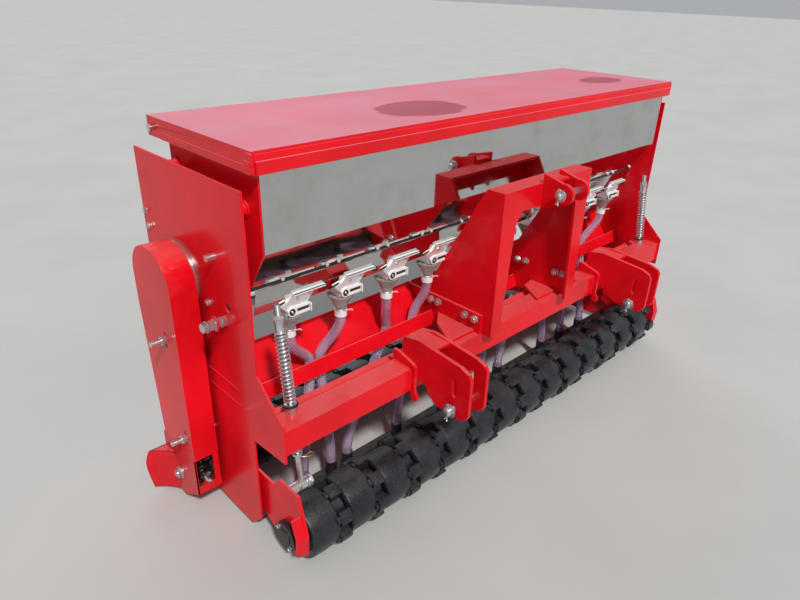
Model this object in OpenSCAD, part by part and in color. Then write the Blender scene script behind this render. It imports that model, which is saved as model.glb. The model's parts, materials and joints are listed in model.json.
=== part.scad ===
// Roller seeder for a tractor's three-point hitch: a frame of two side plates and a square beam,
// a stainless seed box with a hinged lid, ten metering units with clear seed tubes,
// a sprung front roller and a rear roller that drives the metering shaft by chain.
// X runs along the rollers, -Y points to the tractor, Z is up. Sizes are in millimetres.

/* [Rows] */
// number of metering units in the row
row_count = 10; // [6:2:10]
// outside radius of a clear seed tube
tube_r = 12.5; // [9:0.5:13.5]
// width of a metering unit's front plate
unit_w = 94; // [70:1:104]

/* [Rollers] */
// number of lugged rings on each roller
ring_count = 14; // [12:1:16]
// spacing of the rings along the roller
ring_pitch = 110; // [100:1:118]
// radius of a ring over its lugs
tip_r = 79; // [74:1:86]
// height of a lug above the ring's body
lug_h = 12; // [6:1:18]
// number of lugs round a ring
lug_count = 7; // [5:1:8]
// distance between the two roller axes
axle_gap = 345; // [320:1:380]
// radius of the roller shafts at their bearings
shaft_r = 20; // [14:0.5:24]

/* [Frame] */
// outer size of the square front beam
beam = 60; // [50:1:64]
// wall of the square beams
beam_wall = 4; // [3:0.5:6]
// height of the front beam's top above the ground
beam_top = 376; // [360:1:400]
// thickness of the two side plates
plate_t = 5; // [4:0.5:8]
// thickness of the tall mast plates
mast_t = 10; // [6:1:14]
// height of the mast above the front beam
mast_h = 379; // [350:1:420]

/* [Seed box] */
// height of the lid's top above the ground
lid_z = 920; // [900:1:960]
// depth of the lid's folded lip
lip_h = 42; // [34:1:50]
// front to back size of the seed box
box_d = 338; // [310:1:370]
// height of the seed box
box_h = 290; // [270:1:310]
// sheet thickness of the seed box
box_t = 2.5; // [1.5:0.5:4]

/* [Hitch] */
// distance from the middle to the middle of each lower link bracket
link_x = 402; // [390:1:440]
// gap between the two plates of a lower link bracket
link_gap = 44; // [38:1:70]
// thickness of the lower link plates
link_t = 10; // [8:1:14]
// radius of the lower link pins
link_pin_r = 11; // [9:0.5:14]
// gap between the two lugs at the mast's head
top_gap = 56; // [46:1:64]
// radius of the top link pin
top_pin_r = 9.5; // [8:0.5:12.5]

/* [Drive] */
// radius of the sprocket on the rear roller
drive_r = 36; // [30:1:40]
// radius of the large sprocket above it
driven_r = 64; // [54:1:72]
// radius of the metering shaft
feed_r = 10; // [8:0.5:13]

/* [Springs] */
// radius of the front roller's spring rods
rod_r = 6.5; // [5:0.5:8]
// outside radius of the springs
spring_r = 11.5; // [10.5:0.5:14]
// radius of the springs' wire
wire_r = 1.5; // [1:0.25:1.75]
// length of an upper spring
spring_len = 188; // [160:1:210]

/* [Hidden] */
$fn = 48;

// clearances: of a shaft in its bore, of a piece on its seat, of a bolt or rod in its hole
fit = 0.06;
seat = 0.3;
slack = 1.5;
// how far a cutting body runs past a face
cut = 1;

// along X: from the rings out to the side plates and the drive
arm_t = 6;
arm_gap = 8;
arm_side = 9;
half_rings = ring_count * ring_pitch / 2;
arm_x = half_rings + arm_gap;
plate_x = arm_x + arm_t + arm_side;
plate_out = plate_x + plate_t;
end_t = 4;
box_gap = 27;
box_x = plate_x - box_gap - end_t;
row_edge = 32;
row_pitch = 2 * (box_x - row_edge) / row_count;
row_xs = [for (i = [0 : row_count - 1]) (i - (row_count - 1) / 2) * row_pitch];
mast_off = 30;
tie_t = 8;
mast_x = row_pitch + mast_off;
mast_out = mast_x + mast_t;
tie_x = mast_out + tie_t;
chain_out = 38;
sprocket_t = 8;
sprocket_x = plate_out + chain_out;
inner_x = plate_x - 12;
guard_depth = 60;
guard_x = sprocket_x + guard_depth / 2 + 4;
foot_out = 57;
foot_x = guard_x + foot_out;
nut_h = 10;

// along Y and Z: the front axle is at 0, the ground at 0
axle_z = tip_r;
rear_y = axle_gap;
beam_y = -20;
beam_back = beam_y + beam;
beam_bottom = beam_top - beam;
box_front = beam_back + 20;
box_back = box_front + box_d;
box_top = lid_z - 8;
trough_z = box_top - box_h;
trough_y = box_front + 66;
trough_w = 56;
knee_z = trough_z + 178;
feed_y = trough_y + 24;
feed_z = trough_z - 32;
hinge_out = 37;
hinge_r = 4.5;
hinge_y = box_back + hinge_out;
hinge_z = lid_z - 23;
body_w = 40;
body_y = feed_y - 22;
idler_y = rear_y;
idler_z = feed_z + 10;
plate_back = rear_y + 155;
plate_top = lid_z - 70;
plate_foot = 16;
rear_beam_z = axle_z + 191;
rear_beam_y = rear_y - 45;

// the front roller's spring rods lean back from the arms
rod_x = arm_x - 36;
rod_y = 6;
rod_z = axle_z + 115;
rod_lean = 7;
knuckle_r = 13;

// seed tubes: how far each moves along X down to the strip and down to its boot
tube_shifts = [[64, 9], [-48, -52], [22, -145], [-26, -111], [-17, -47], [-13, -37], [20, -96],
    [-25, 2], [-30, -31], [-60, -50]];
outlet_z = feed_z - 100;
strip_y = beam_back + 97;
strip_z = beam_top - 32;
tube_y = strip_y + 22 + tube_r;
tube_z = strip_z + 36;
boot_y = beam_back + 96;
boot_z = 22;
boot_h = 53;

// the whole machine is moved so that its box stands centred on the origin
link_reach = 173;
x_low = -foot_x;
x_high = plate_out + 12;
y_low = beam_y - link_reach;
y_high = plate_back;
module at_origin() {
    translate([-(x_low + x_high) / 2, -(y_low + y_high) / 2, 0]) children();
}

// a flat plate in the YZ plane, from x0 towards +X
module plate_yz(x0, t, pts) {
    translate([x0, 0, 0]) rotate([90, 0, 90]) linear_extrude(t) polygon(pts);
}

// a round bar along X
module bar_x(x0, x1, y, z, r) {
    translate([x0, y, z]) rotate([0, 90, 0]) cylinder(h = x1 - x0, r = r);
}

// a round bar along X on the side s, from the distance x0 to x1
module bar_side(s, x0, x1, y, z, r) {
    bar_x(s < 0 ? -x1 : x0, s < 0 ? -x0 : x1, y, z, r);
}

// a hexagonal nut or head on the side s, from the distance x0 to x1
module hex_side(s, x0, x1, y, z, r) {
    translate([s < 0 ? -x1 : x0, y, z]) rotate([0, 90, 0]) cylinder(h = x1 - x0, r = r, $fn = 6);
}

// a square tube along X
module box_tube(x0, x1, y, z, size, wall) {
    difference() {
        translate([x0, y, z]) cube([x1 - x0, size, size]);
        translate([x0 - cut, y + wall, z + wall])
            cube([x1 - x0 + 2 * cut, size - 2 * wall, size - 2 * wall]);
    }
}

function unit(v) = v / norm(v);

// a closed round bar through a list of points; side is a direction that it never runs along
module swept(path, r, sides, side) {
    n = len(path);
    pts = [for (i = [0 : n - 1])
        let (run = unit(path[min(i + 1, n - 1)] - path[max(i - 1, 0)]),
            u = unit(cross(run, side)), v = cross(run, u))
        for (k = [0 : sides - 1])
            path[i] + r * cos(360 * k / sides) * u + r * sin(360 * k / sides) * v];
    faces = concat(
        [[for (k = [0 : sides - 1]) k]],
        [for (i = [0 : n - 2], k = [0 : sides - 1], half = [0, 1])
            let (a = i * sides + k, b = i * sides + (k + 1) % sides)
            half == 0 ? [a, a + sides, b + sides] : [a, b + sides, b]],
        [[for (k = [0 : sides - 1]) n * sides - 1 - k]]);
    polyhedron(points = pts, faces = faces);
}

throat = 55;
lap = 16;
corner = 45;
module side_plate(s) {
    x0 = s < 0 ? -plate_out : plate_x;
    difference() {
        plate_yz(x0, plate_t, [[box_front + 2, plate_top], [plate_back, plate_top],
            [plate_back, plate_foot + corner], [plate_back - corner, plate_foot],
            [beam_back + throat + corner, plate_foot], [beam_back + throat, plate_foot + corner],
            [beam_back + throat, beam_bottom - lap - 10], [beam_y - 5, beam_bottom - lap],
            [beam_y - 5, beam_top + lap], [box_front + 2, beam_top + lap + 78]]);
        bar_side(s, plate_x - cut, plate_out + cut, rear_y, axle_z, shaft_r + fit);
        bar_side(s, plate_x - cut, plate_out + cut, feed_y, feed_z, feed_r + fit);
        if (s < 0)
            bar_side(s, plate_x - cut, plate_out + cut, idler_y, idler_z, feed_r + fit);
    }
}

module side_plate_left() {
    color([0.88, 0.08, 0.13]) side_plate(-1);
}

module side_plate_right() {
    color([0.88, 0.08, 0.13]) side_plate(1);
}

module front_beam() {
    color([0.88, 0.08, 0.13])
    difference() {
        box_tube(-plate_x, plate_x, beam_y, beam_bottom, beam, beam_wall);
        for (s = [-1, 1])
            at_rod(s) cylinder(h = spring_len + beam_top, r = rod_r + slack);
    }
}

module rear_beam() {
    color([0.88, 0.08, 0.13])
    box_tube(-plate_x, plate_x, rear_beam_y, rear_beam_z, beam, beam_wall);
}

// the stretches along X between the side plates and the mast, with the inner one mid wide
function bays(mid) = [[-plate_x, -tie_x], [-mid, mid], [tie_x, plate_x]];

strip_h = 36;
strip_t = 4;
module cross_strip() {
    color([0.88, 0.08, 0.13])
    for (b = bays(mast_x))
        plate_yz(b[0], b[1] - b[0], [[strip_y, strip_z], [strip_y + strip_t, strip_z],
            [strip_y + strip_t + 13, strip_z + strip_h], [strip_y + 13, strip_z + strip_h]]);
}

// the sloped sheet behind the tubes, with its upper edge folded up
panel_y = 52;
panel_run = 50;
panel_rise = 76;
module deflector() {
    y0 = strip_y + panel_y;
    z0 = strip_z + 8;
    color([0.88, 0.08, 0.13])
    for (b = bays(mast_out))
        plate_yz(b[0], b[1] - b[0], [[y0, z0], [y0 + strip_t, z0],
            [y0 + panel_run + strip_t, z0 + panel_rise],
            [y0 + panel_run + strip_t, z0 + panel_rise + 8],
            [y0 + panel_run, z0 + panel_rise + 8], [y0 + panel_run, z0 + panel_rise]]);
}

// the sheet that hides the feed shaft between two metering units: its ends along X
apron_h = 60;
function apron(i) = [i == 0 ? -box_x : row_xs[i - 1] + body_w / 2 + seat,
    i == row_count ? box_x : row_xs[i] - body_w / 2 - seat];
module hopper_shell() {
    color([0.75, 0.76, 0.78]) {
    for (i = [0 : row_count])
        translate([apron(i)[0], body_y + seat, trough_z - apron_h])
            cube([apron(i)[1] - apron(i)[0], box_t, apron_h + box_t]);
    difference() {
        plate_yz(-box_x, 2 * box_x, [[box_front, box_top], [trough_y, trough_z],
            [trough_y + trough_w, trough_z], [box_back, knee_z], [box_back, box_top]]);
        plate_yz(-box_x - cut, 2 * (box_x + cut), [[box_front + box_t, box_top + cut],
            [trough_y + box_t, trough_z + box_t], [trough_y + trough_w - box_t / 2, trough_z + box_t],
            [box_back - box_t, knee_z + box_t / 2], [box_back - box_t, box_top + cut]]);
        for (x = row_xs)
            translate([x - 12, feed_y - 12, trough_z - cut]) cube([24, 24, box_t + 2 * cut]);
    }
    }
}

ear = 10;
module hopper_ends() {
    color([0.88, 0.08, 0.13])
    for (s = [-1, 1])
        difference() {
            plate_yz(s < 0 ? -box_x - end_t : box_x, end_t, [[box_front, box_top],
                [trough_y, trough_z], [trough_y + trough_w, trough_z], [box_back, knee_z],
                [box_back, hinge_z - ear], [hinge_y, hinge_z - ear],
                [hinge_y + ear, hinge_z - ear / 2], [hinge_y + ear, hinge_z + ear / 2],
                [hinge_y, hinge_z + ear], [box_back, hinge_z + ear], [box_back, box_top]]);
            bar_side(s, box_x - cut, box_x + end_t + cut, hinge_y, hinge_z, hinge_r);
        }
    // spacers to the side plates
    color([0.88, 0.08, 0.13])
    for (s = [-1, 1], p = [[50, box_h - 112], [90, 98], [310, box_h - 82]])
        bar_side(s, box_x + end_t, plate_x, box_front + p[0], trough_z + p[1], 12);
}

pin_out = 24;
module lid_pins() {
    color([0.72, 0.73, 0.75])
    for (s = [-1, 1]) {
        bar_side(s, box_x, box_x + pin_out, hinge_y, hinge_z, hinge_r);
        bar_side(s, box_x + pin_out - 3, box_x + pin_out, hinge_y, hinge_z, 2 * hinge_r - 1);
    }
}

lid_t = 2.5;
lid_x = box_x + 16;
lid_over = 12;
module lid() {
    y0 = box_front - lid_over;
    y1 = hinge_y + 21;
    color([0.85, 0.42, 0.50])
    difference() {
        union() {
            translate([-lid_x, y0, lid_z - lip_h]) cube([2 * lid_x, y1 - y0, lip_h]);
            // folded edge along the front
            translate([-lid_x + 6, y0 - 5, lid_z - lip_h]) cube([2 * lid_x - 12, 5, lip_h - 18]);
        }
        translate([-lid_x + lid_t, y0 + lid_t, lid_z - lip_h - cut])
            cube([2 * (lid_x - lid_t), y1 - y0 - 2 * lid_t, lip_h - lid_t + cut]);
        bar_x(-lid_x - cut, lid_x + cut, hinge_y, hinge_z, hinge_r + fit);
    }
}

mast_y = -50;
head_z = beam_top + mast_h;
head_d = 52;
tie_top = 54;
tie_low = 31;
mast_back = strip_y + panel_y - 2;
// the rear edge slopes from the head down to the tie bar's top
mast_pts = [[mast_y, head_z], [mast_y + head_d, head_z], [mast_back, beam_top + tie_top],
    [mast_back, beam_top - tie_low],
    [beam_back, beam_top - tie_low], [beam_back, beam_top], [mast_y, beam_top]];

module mast_left() {
    color([0.88, 0.08, 0.13]) plate_yz(-mast_out, mast_t, mast_pts);
}

module mast_right() {
    color([0.88, 0.08, 0.13]) plate_yz(mast_x, mast_t, mast_pts);
}

top_y = -110;
top_z = head_z - 16;
lug_r = 26;
lug_x = top_gap / 2;
lug_t = 10;
sheet = 8;
module mast_head() {
    color([0.88, 0.08, 0.13]) {
        // front sheet: a deep top rail and a flange down each mast plate
        translate([0, mast_y, 0]) rotate([90, 0, 0]) mirror([0, 0, 1]) linear_extrude(sheet)
            difference() {
                translate([-mast_x, beam_top]) square([2 * mast_x, mast_h]);
                polygon([[-mast_x + 25, beam_top - cut], [mast_x - 25, beam_top - cut],
                    [mast_x - 46, head_z - 88], [mast_x - 66, head_z - 58],
                    [-mast_x + 66, head_z - 58], [-mast_x + 46, head_z - 88]]);
            }
        // cap between the mast plates
        translate([-mast_x, mast_y + sheet, head_z - sheet])
            cube([2 * mast_x, head_d - sheet, sheet]);
        for (s = [-1, 1])
            translate([s < 0 ? -lug_x - lug_t : lug_x, 0, 0]) rotate([90, 0, 90])
                linear_extrude(lug_t) difference() {
                    union() {
                        translate([top_y, top_z]) circle(r = lug_r);
                        polygon([[top_y + 3, top_z + lug_r - 1], [mast_y, top_z + lug_r + 14],
                            [mast_y, top_z - lug_r - 30], [top_y + 3, top_z - lug_r + 1]]);
                    }
                    translate([top_y, top_z]) circle(r = top_pin_r - 0.2);
                }
        // strap between the lugs
        translate([-lug_x, mast_y - 30, head_z + 2]) cube([top_gap, 30, sheet]);
    }
}

gusset_t = 8;
gusset_x = 94;
gusset_y = 106;
module mast_gussets() {
    color([0.88, 0.08, 0.13])
    translate([0, 0, beam_top]) linear_extrude(gusset_t)
        for (s = [-1, 1]) {
            polygon([[s * tie_x, beam_y + gusset_y + 40],
                [s * (tie_x + gusset_x / 2), beam_y + gusset_y],
                [s * (tie_x + gusset_x), beam_y + 18], [s * tie_x, beam_y + 18]]);
            polygon([[s * mast_x, beam_y + gusset_y], [s * (mast_x - gusset_x / 2), beam_y + gusset_y - 10],
                [s * (mast_x - gusset_x), beam_y + 18], [s * mast_x, beam_y + 18]]);
        }
}

module tie_bars() {
    color([0.88, 0.08, 0.13])
    for (s = [-1, 1])
        plate_yz(s < 0 ? -mast_out - tie_t : mast_out, tie_t,
            [[beam_y, beam_top], [beam_back, beam_top], [beam_back, beam_top - tie_low],
            [rear_beam_y, rear_beam_z + 12], [rear_beam_y, rear_beam_z + beam + 24],
            [rear_beam_y - 50, beam_top + tie_top], [beam_y, beam_top + tie_top]]);
}

module top_pin() {
    color([0.75, 0.76, 0.78]) {
        bar_x(-lug_x - 28, lug_x + lug_t + 2, top_y, top_z, top_pin_r - seat);
        // thinner free end, which takes the clip
        bar_x(lug_x + lug_t, lug_x + 28, top_y, top_z, top_pin_r - 1);
        bar_x(-lug_x, lug_x, top_y, top_z, top_pin_r);
        bar_x(-lug_x - 32, -lug_x - 28, top_y, top_z, top_pin_r + 5);
    }
}

pin_y = beam_y - 127;
pin_z = beam_top - 46;
slot_r = 7;
slot_h = 34;
// outline of a link plate from the beam's front top corner: [forward, up]
link_table = [[-39, 0], [-39, 62], [-30, 72], [14, 80], [141, 69], [166, 60], [link_reach, 48],
    [link_reach, -46], [166, -58], [157, -64], [117, -66], [77, -64], [50, -44], [39, -23],
    [0, -23], [0, 0]];
link_pts = [for (p = link_table) [beam_y - p[0], beam_top + p[1]]];
// a saddle hugs the beam outside each link plate: [forward, up]
saddle_table = [[-beam, 0], [-beam, 30], [-46, 31], [8, 15], [14, 8], [14, 6 - beam],
    [24, -12 - beam], [20, -22 - beam], [6, -24 - beam], [0, -6 - beam], [0, 0]];
saddle_t = 8;

module link_bracket(s) {
    for (e = [-1, 1])
        difference() {
            plate_yz(s * link_x + e * (link_gap + link_t) / 2 - link_t / 2, link_t, link_pts);
            bar_x(s * link_x + e * (link_gap + link_t) / 2 - link_t,
                s * link_x + e * (link_gap + link_t) / 2 + link_t, pin_y, pin_z, link_pin_r - 0.2);
            translate([s * link_x + e * (link_gap + link_t) / 2 - link_t, 0, 0])
                rotate([90, 0, 90]) linear_extrude(2 * link_t) {
                    translate([pin_y - 3 - slot_r, pin_z + 39]) square([2 * slot_r, slot_h]);
                    translate([pin_y - 3, pin_z + 39]) circle(r = slot_r);
                    translate([pin_y - 3, pin_z + 39 + slot_h]) circle(r = slot_r);
                }
        }
    for (e = [-1, 1])
        plate_yz(s * link_x + e * (link_gap / 2 + link_t + saddle_t / 2) - saddle_t / 2, saddle_t,
            [for (p = saddle_table) [beam_y - p[0], beam_top + p[1]]]);
    // top plate between the two
    translate([s * link_x - link_gap / 2, beam_y - 60, beam_top + 66])
        cube([link_gap, 90, sheet]);
}

module link_bracket_left() {
    color([0.88, 0.08, 0.13]) link_bracket(-1);
}

module link_bracket_right() {
    color([0.88, 0.08, 0.13]) link_bracket(1);
}

// full size between the plates, slightly slimmer in their bores
module link_pin(s) {
    out = link_gap / 2 + link_t + 15;
    bar_x(s * link_x - out, s * link_x + out, pin_y, pin_z, link_pin_r - seat);
    bar_x(s * link_x - link_gap / 2, s * link_x + link_gap / 2, pin_y, pin_z, link_pin_r);
    bar_x(s * link_x - out - 4, s * link_x - out, pin_y, pin_z, link_pin_r + 5);
}

module link_pin_left() {
    color([0.75, 0.76, 0.78]) link_pin(-1);
}

module link_pin_right() {
    color([0.75, 0.76, 0.78]) link_pin(1);
}

unit_t = 3;
unit_h = 44;
unit_low = 49;
funnel_r = 33;
funnel_h = 34;
module meter_bodies() {
    color([0.82, 0.83, 0.84])
    for (x = row_xs) {
        difference() {
            plate_yz(x - body_w / 2, body_w, [[body_y, trough_z], [trough_y + trough_w, trough_z],
                [trough_y + trough_w, feed_z - 15], [feed_y + 24, feed_z - 70],
                [body_y, feed_z - 70]]);
            bar_x(x - body_w, x + body_w, feed_y, feed_z, feed_r + fit);
        }
        // tapered front plate
        translate([x, body_y, feed_z - unit_low]) rotate([90, 0, 0]) linear_extrude(unit_t)
            polygon([[-body_w / 2, 0], [body_w / 2, 0], [unit_w / 2, unit_h],
                [-unit_w / 2, unit_h]]);
        // funnel down to the tube
        translate([x, feed_y, outlet_z + 10]) cylinder(h = funnel_h, r1 = tube_r, r2 = funnel_r);
        translate([x, feed_y, outlet_z]) cylinder(h = 10, r = tube_r);
    }
}

lever_h = 24;
lever_l = 48;
lever_out = 16;
module meter_levers() {
    y1 = body_y - unit_t;
    color([0.85, 0.86, 0.86])
    for (x = row_xs) {
        // slotted lever on its pivot
        translate([x - lever_out, y1, feed_z - unit_low + 6 - lever_h / 2]) rotate([90, 0, 0])
            linear_extrude(4) difference() {
                square([lever_l, lever_h]);
                translate([18, lever_h / 2 - 5]) square([lever_l - 24, 10]);
            }
        // slide strip
        translate([x - 3, body_y - 6, feed_z - 5]) cube([85, 6, 4]);
    }
}

bar_rise = 4;
bar_h = 16;
hole_pitch = 18;
// the perforated strip lies on the box's sloped front
module slide_bar() {
    lean = 66 / box_h;
    y0 = trough_y - lean * bar_rise;
    color([0.3, 0.3, 0.32])
    difference() {
        plate_yz(-box_x, 2 * box_x, [[y0, trough_z + bar_rise],
            [y0 - lean * bar_h, trough_z + bar_rise + bar_h],
            [y0 - lean * bar_h - 5, trough_z + bar_rise + bar_h - 1],
            [y0 - 5, trough_z + bar_rise - 1]]);
        for (i = [0 : floor((2 * box_x - 40) / hole_pitch)])
            translate([-box_x + 20 + i * hole_pitch, y0 + 8, trough_z + bar_rise + bar_h / 2])
                rotate([90, 0, 0]) cylinder(h = 24, r = 3, $fn = 16);
    }
}

module feed_shaft() {
    color([0.72, 0.73, 0.75]) {
        bar_x(-plate_x + 4, plate_out + 10, feed_y, feed_z, feed_r);
        difference() {
            bar_side(-1, inner_x - 4, inner_x + 4, feed_y, feed_z, driven_r / 2 - seat);
            bar_side(-1, inner_x - 5, inner_x + 5, feed_y, feed_z, feed_r);
        }
    }
}

module tube_collars() {
    color([0.93, 0.93, 0.93])
    for (x = row_xs)
        translate([x, feed_y, outlet_z - 14]) difference() {
            cylinder(h = 14, r = tube_r + 2.5);
            translate([0, 0, -cut]) cylinder(h = 14 + 2 * cut, r = tube_r + seat);
        }
}

// a point at the share t of a cubic curve with four control points
function curve(p, t) = pow(1 - t, 3) * p[0] + 3 * t * pow(1 - t, 2) * p[1]
    + 3 * t * t * (1 - t) * p[2] + pow(t, 3) * p[3];

// straight out of the collar, over the curve behind the strip, straight into the boot
function tube_path(x, shift) =
    let (top = [x, feed_y, outlet_z - 18], mid = [x + shift[0], tube_y, tube_z],
        foot = [x + shift[1], boot_y, boot_z + boot_h + 6])
    concat([top + [0, 0, 18]],
        [for (t = [0 : 0.2 : 0.9])
            curve([top, top - [0, 0, 40], mid + [-0.33 * shift[0], 0, 30], mid], t)],
        [for (t = [0 : 0.125 : 0.95])
            curve([mid, mid + [0.2 * shift[0], 0, -25], foot + [0, 0, 70], foot], t)],
        [foot, foot - [0, 0, boot_h - 4]]);

module seed_tubes() {
    color([0.80, 0.78, 0.88, 0.6])
    for (i = [0 : row_count - 1])
        swept(tube_path(row_xs[i], tube_shifts[i]), tube_r, 8, [0, 1, 0]);
}

boot_r = tube_r + 3;
boot_bar_w = 38;
boot_bar_z = boot_z + 12;
module boot_bar() {
    color([0.3, 0.3, 0.32])
    difference() {
        translate([-plate_x, boot_y - boot_bar_w / 2, boot_bar_z])
            cube([2 * plate_x, boot_bar_w, 6]);
        for (i = [0 : row_count - 1])
            translate([row_xs[i] + tube_shifts[i][1], boot_y, boot_bar_z - cut])
                cylinder(h = 6 + 2 * cut, r = boot_r);
    }
}

module seed_boots() {
    color([0.3, 0.3, 0.32])
    for (i = [0 : row_count - 1])
        translate([row_xs[i] + tube_shifts[i][1], boot_y, boot_z]) difference() {
            cylinder(h = boot_h, r = boot_r);
            translate([0, 0, -cut]) cylinder(h = boot_h + 2 * cut, r = tube_r + seat);
        }
}

// outline of a ring's lugs, which take this share of the way round; one corner of a lug
// points straight down, the leading or the trailing one
function lugged(root, share, lead) = [for (k = [0 : lug_count - 1], c = [0 : 3])
    let (h = 180 * share / lug_count, a = 360 * k / lug_count - 90 + lead * h,
        r = (c == 0 || c == 3) ? root : tip_r,
        b = c == 0 ? a - h - 3 : c == 1 ? a - h : c == 2 ? a + h : a + h + 3)
    [r * cos(b), r * sin(b)]];

hub = 44;
wide = 0.7;
drum_r = tip_r - lug_h * 2 / 3;
module rings(y) {
    for (i = [0 : ring_count - 1])
        translate([(i - ring_count / 2) * ring_pitch, y, axle_z]) rotate([90, 0, 90])
            difference() {
                union() {
                    linear_extrude(ring_pitch * wide) circle(r = drum_r, $fn = 12);
                    translate([0, 0, ring_pitch * wide])
                        linear_extrude(ring_pitch * (1 - wide) - 2)
                        polygon(lugged(tip_r - lug_h - 4, 0.45, 2 * (i % 2) - 1));
                }
                translate([-hub / 2, -hub / 2, -cut]) cube([hub, hub, ring_pitch + 2 * cut]);
            }
}

module roller_shaft(y, x0, x1) {
    translate([-half_rings, y - hub / 2, axle_z - hub / 2]) cube([2 * half_rings - 2, hub, hub]);
    bar_x(x0, -half_rings, y, axle_z, shaft_r);
    bar_x(half_rings - 2, x1, y, axle_z, shaft_r);
}

module front_rings() {
    color([0.13, 0.13, 0.14]) rings(0);
}

module front_shaft() {
    color([0.25, 0.25, 0.27]) roller_shaft(0, -arm_x - 22, arm_x + 22);
}

module rear_rings() {
    color([0.13, 0.13, 0.14]) rings(rear_y);
}

module rear_shaft() {
    color([0.25, 0.25, 0.27]) roller_shaft(rear_y, -sprocket_x - 20, plate_out + 10);
}

// where the arm turns on the side plate, from the front axle
arm_back = 172;
arm_up = 71;
boss_r = 22;
flange = 24;
module arm(s) {
    difference() {
        plate_yz(s < 0 ? -arm_x - arm_t : arm_x, arm_t, [[-62, axle_z - 17], [-66, axle_z + 41],
            [-40, rod_z + 21], [30, rod_z + 21], [55, axle_z + arm_up + 36],
            [arm_back, axle_z + arm_up + 36], [arm_back + 33, axle_z + arm_up + 10],
            [arm_back + 23, axle_z + arm_up - 25], [70, axle_z - 24], [35, axle_z - 49],
            [-30, axle_z - 49]]);
        bar_side(s, arm_x - cut, arm_x + arm_t + cut, 0, axle_z, shaft_r + fit);
    }
    // flange along the front edge
    plate_yz(s < 0 ? -arm_x - arm_t - flange : arm_x + arm_t, flange, [[-63, axle_z],
        [-66, axle_z + 41], [-49, axle_z + 88], [-45, axle_z + 88], [-60, axle_z + 41],
        [-57, axle_z]]);
    // pivot boss against the side plate
    bar_side(s, arm_x + arm_t, plate_x, arm_back, axle_z + arm_up, boss_r);
}

module arm_left() {
    color([0.88, 0.08, 0.13]) arm(-1);
}

module arm_right() {
    color([0.88, 0.08, 0.13]) arm(1);
}

// the leaning frame of a spring rod, from its knuckle up
module at_rod(s) {
    translate([s * rod_x, rod_y, rod_z]) rotate([-rod_lean, 0, 0]) children();
}

// heights along the rod, from its knuckle
bush_h = 20;
rod_seat = (beam_top - rod_z) / cos(rod_lean) + bush_h;
rod_top = rod_seat + spring_len + 34;
lower_top = (beam_bottom - rod_z) / cos(rod_lean) - 2;
lower_len = 38;
module spring_rods() {
    color([0.72, 0.73, 0.75])
    for (s = [-1, 1]) {
        at_rod(s) {
            cylinder(h = rod_top, r = rod_r);
            // nut and washer over the upper spring, washer under the lower one
            translate([0, 0, rod_seat + spring_len + 3]) cylinder(h = 9, r = 10.5, $fn = 6);
            translate([0, 0, rod_seat + spring_len]) cylinder(h = 3, r = spring_r + 0.5);
            translate([0, 0, lower_top - lower_len - 4]) cylinder(h = 4, r = spring_r);
        }
        bar_side(s, rod_x - 16, arm_x, rod_y, rod_z, knuckle_r);
        // bush between the beam and the upper spring
        difference() {
            at_rod(s) translate([0, 0, rod_seat - bush_h - 10])
                cylinder(h = bush_h + 10, r = spring_r + 1);
            translate([s * rod_x - 30, beam_y - 30, beam_top - 60]) cube([60, 120, 60]);
            at_rod(s) cylinder(h = rod_top, r = rod_r + seat);
        }
    }
}

// a coil with its axis along Z
module coil(length, turns, steps) {
    r = spring_r - wire_r;
    path = [for (i = [0 : turns * steps])
        [r * cos(360 * i / steps), r * sin(360 * i / steps),
        wire_r + seat + (length - 2 * wire_r - 2 * seat) * i / (turns * steps)]];
    swept(path, wire_r, 5, [0, 0, 1]);
}

module springs() {
    color([0.75, 0.76, 0.78])
    for (s = [-1, 1]) {
        at_rod(s) translate([0, 0, rod_seat]) coil(spring_len, 17, 10);
        at_rod(s) translate([0, 0, lower_top - lower_len]) coil(lower_len, 4, 10);
    }
}

module roller_bearings() {
    color([0.2, 0.2, 0.22])
    for (s = [-1, 1]) {
        difference() {
            bar_side(s, plate_out, plate_out + 12, rear_y, axle_z, shaft_r + 22);
            bar_side(s, plate_out - cut, plate_out + 12 + cut, rear_y, axle_z, shaft_r + fit);
        }
        difference() {
            bar_side(s, arm_x + arm_t, arm_x + arm_t + 14, 0, axle_z, shaft_r + 16);
            bar_side(s, arm_x + arm_t - cut, arm_x + arm_t + 14 + cut, 0, axle_z, shaft_r + fit);
        }
    }
}

module drive_sprockets() {
    color([0.3, 0.3, 0.32])
    difference() {
        bar_side(-1, sprocket_x - sprocket_t / 2, sprocket_x + sprocket_t / 2, rear_y, axle_z,
            drive_r - seat);
        bar_side(-1, sprocket_x - sprocket_t, sprocket_x + sprocket_t, rear_y, axle_z, shaft_r);
    }
}

module idler_shaft() {
    color([0.75, 0.76, 0.78]) {
        bar_side(-1, plate_x - 24, sprocket_x + 10, idler_y, idler_z, feed_r);
        // a large sprocket outside and a small one inside: [middle, radius]
        for (p = [[sprocket_x, driven_r], [inner_x, driven_r / 2]])
            difference() {
                bar_side(-1, p[0] - sprocket_t / 2, p[0] + sprocket_t / 2, idler_y, idler_z,
                    p[1] - seat);
                bar_side(-1, p[0] - sprocket_t, p[0] + sprocket_t, idler_y, idler_z, feed_r);
            }
    }
}

// a closed band round two sprockets: [y, z, radius] of each
module band(x, width, thick, a, b) {
    translate([-x - width / 2, 0, 0]) rotate([90, 0, 90]) linear_extrude(width)
        difference() {
            hull()
                for (p = [a, b])
                    translate([p[0], p[1]]) circle(r = p[2] + thick);
            hull()
                for (p = [a, b])
                    translate([p[0], p[1]]) circle(r = p[2]);
        }
}

chain_t = 9;
module chain() {
    color([0.12, 0.12, 0.13])
    band(sprocket_x, 10, chain_t, [rear_y, axle_z, drive_r], [idler_y, idler_z, driven_r]);
}

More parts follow.
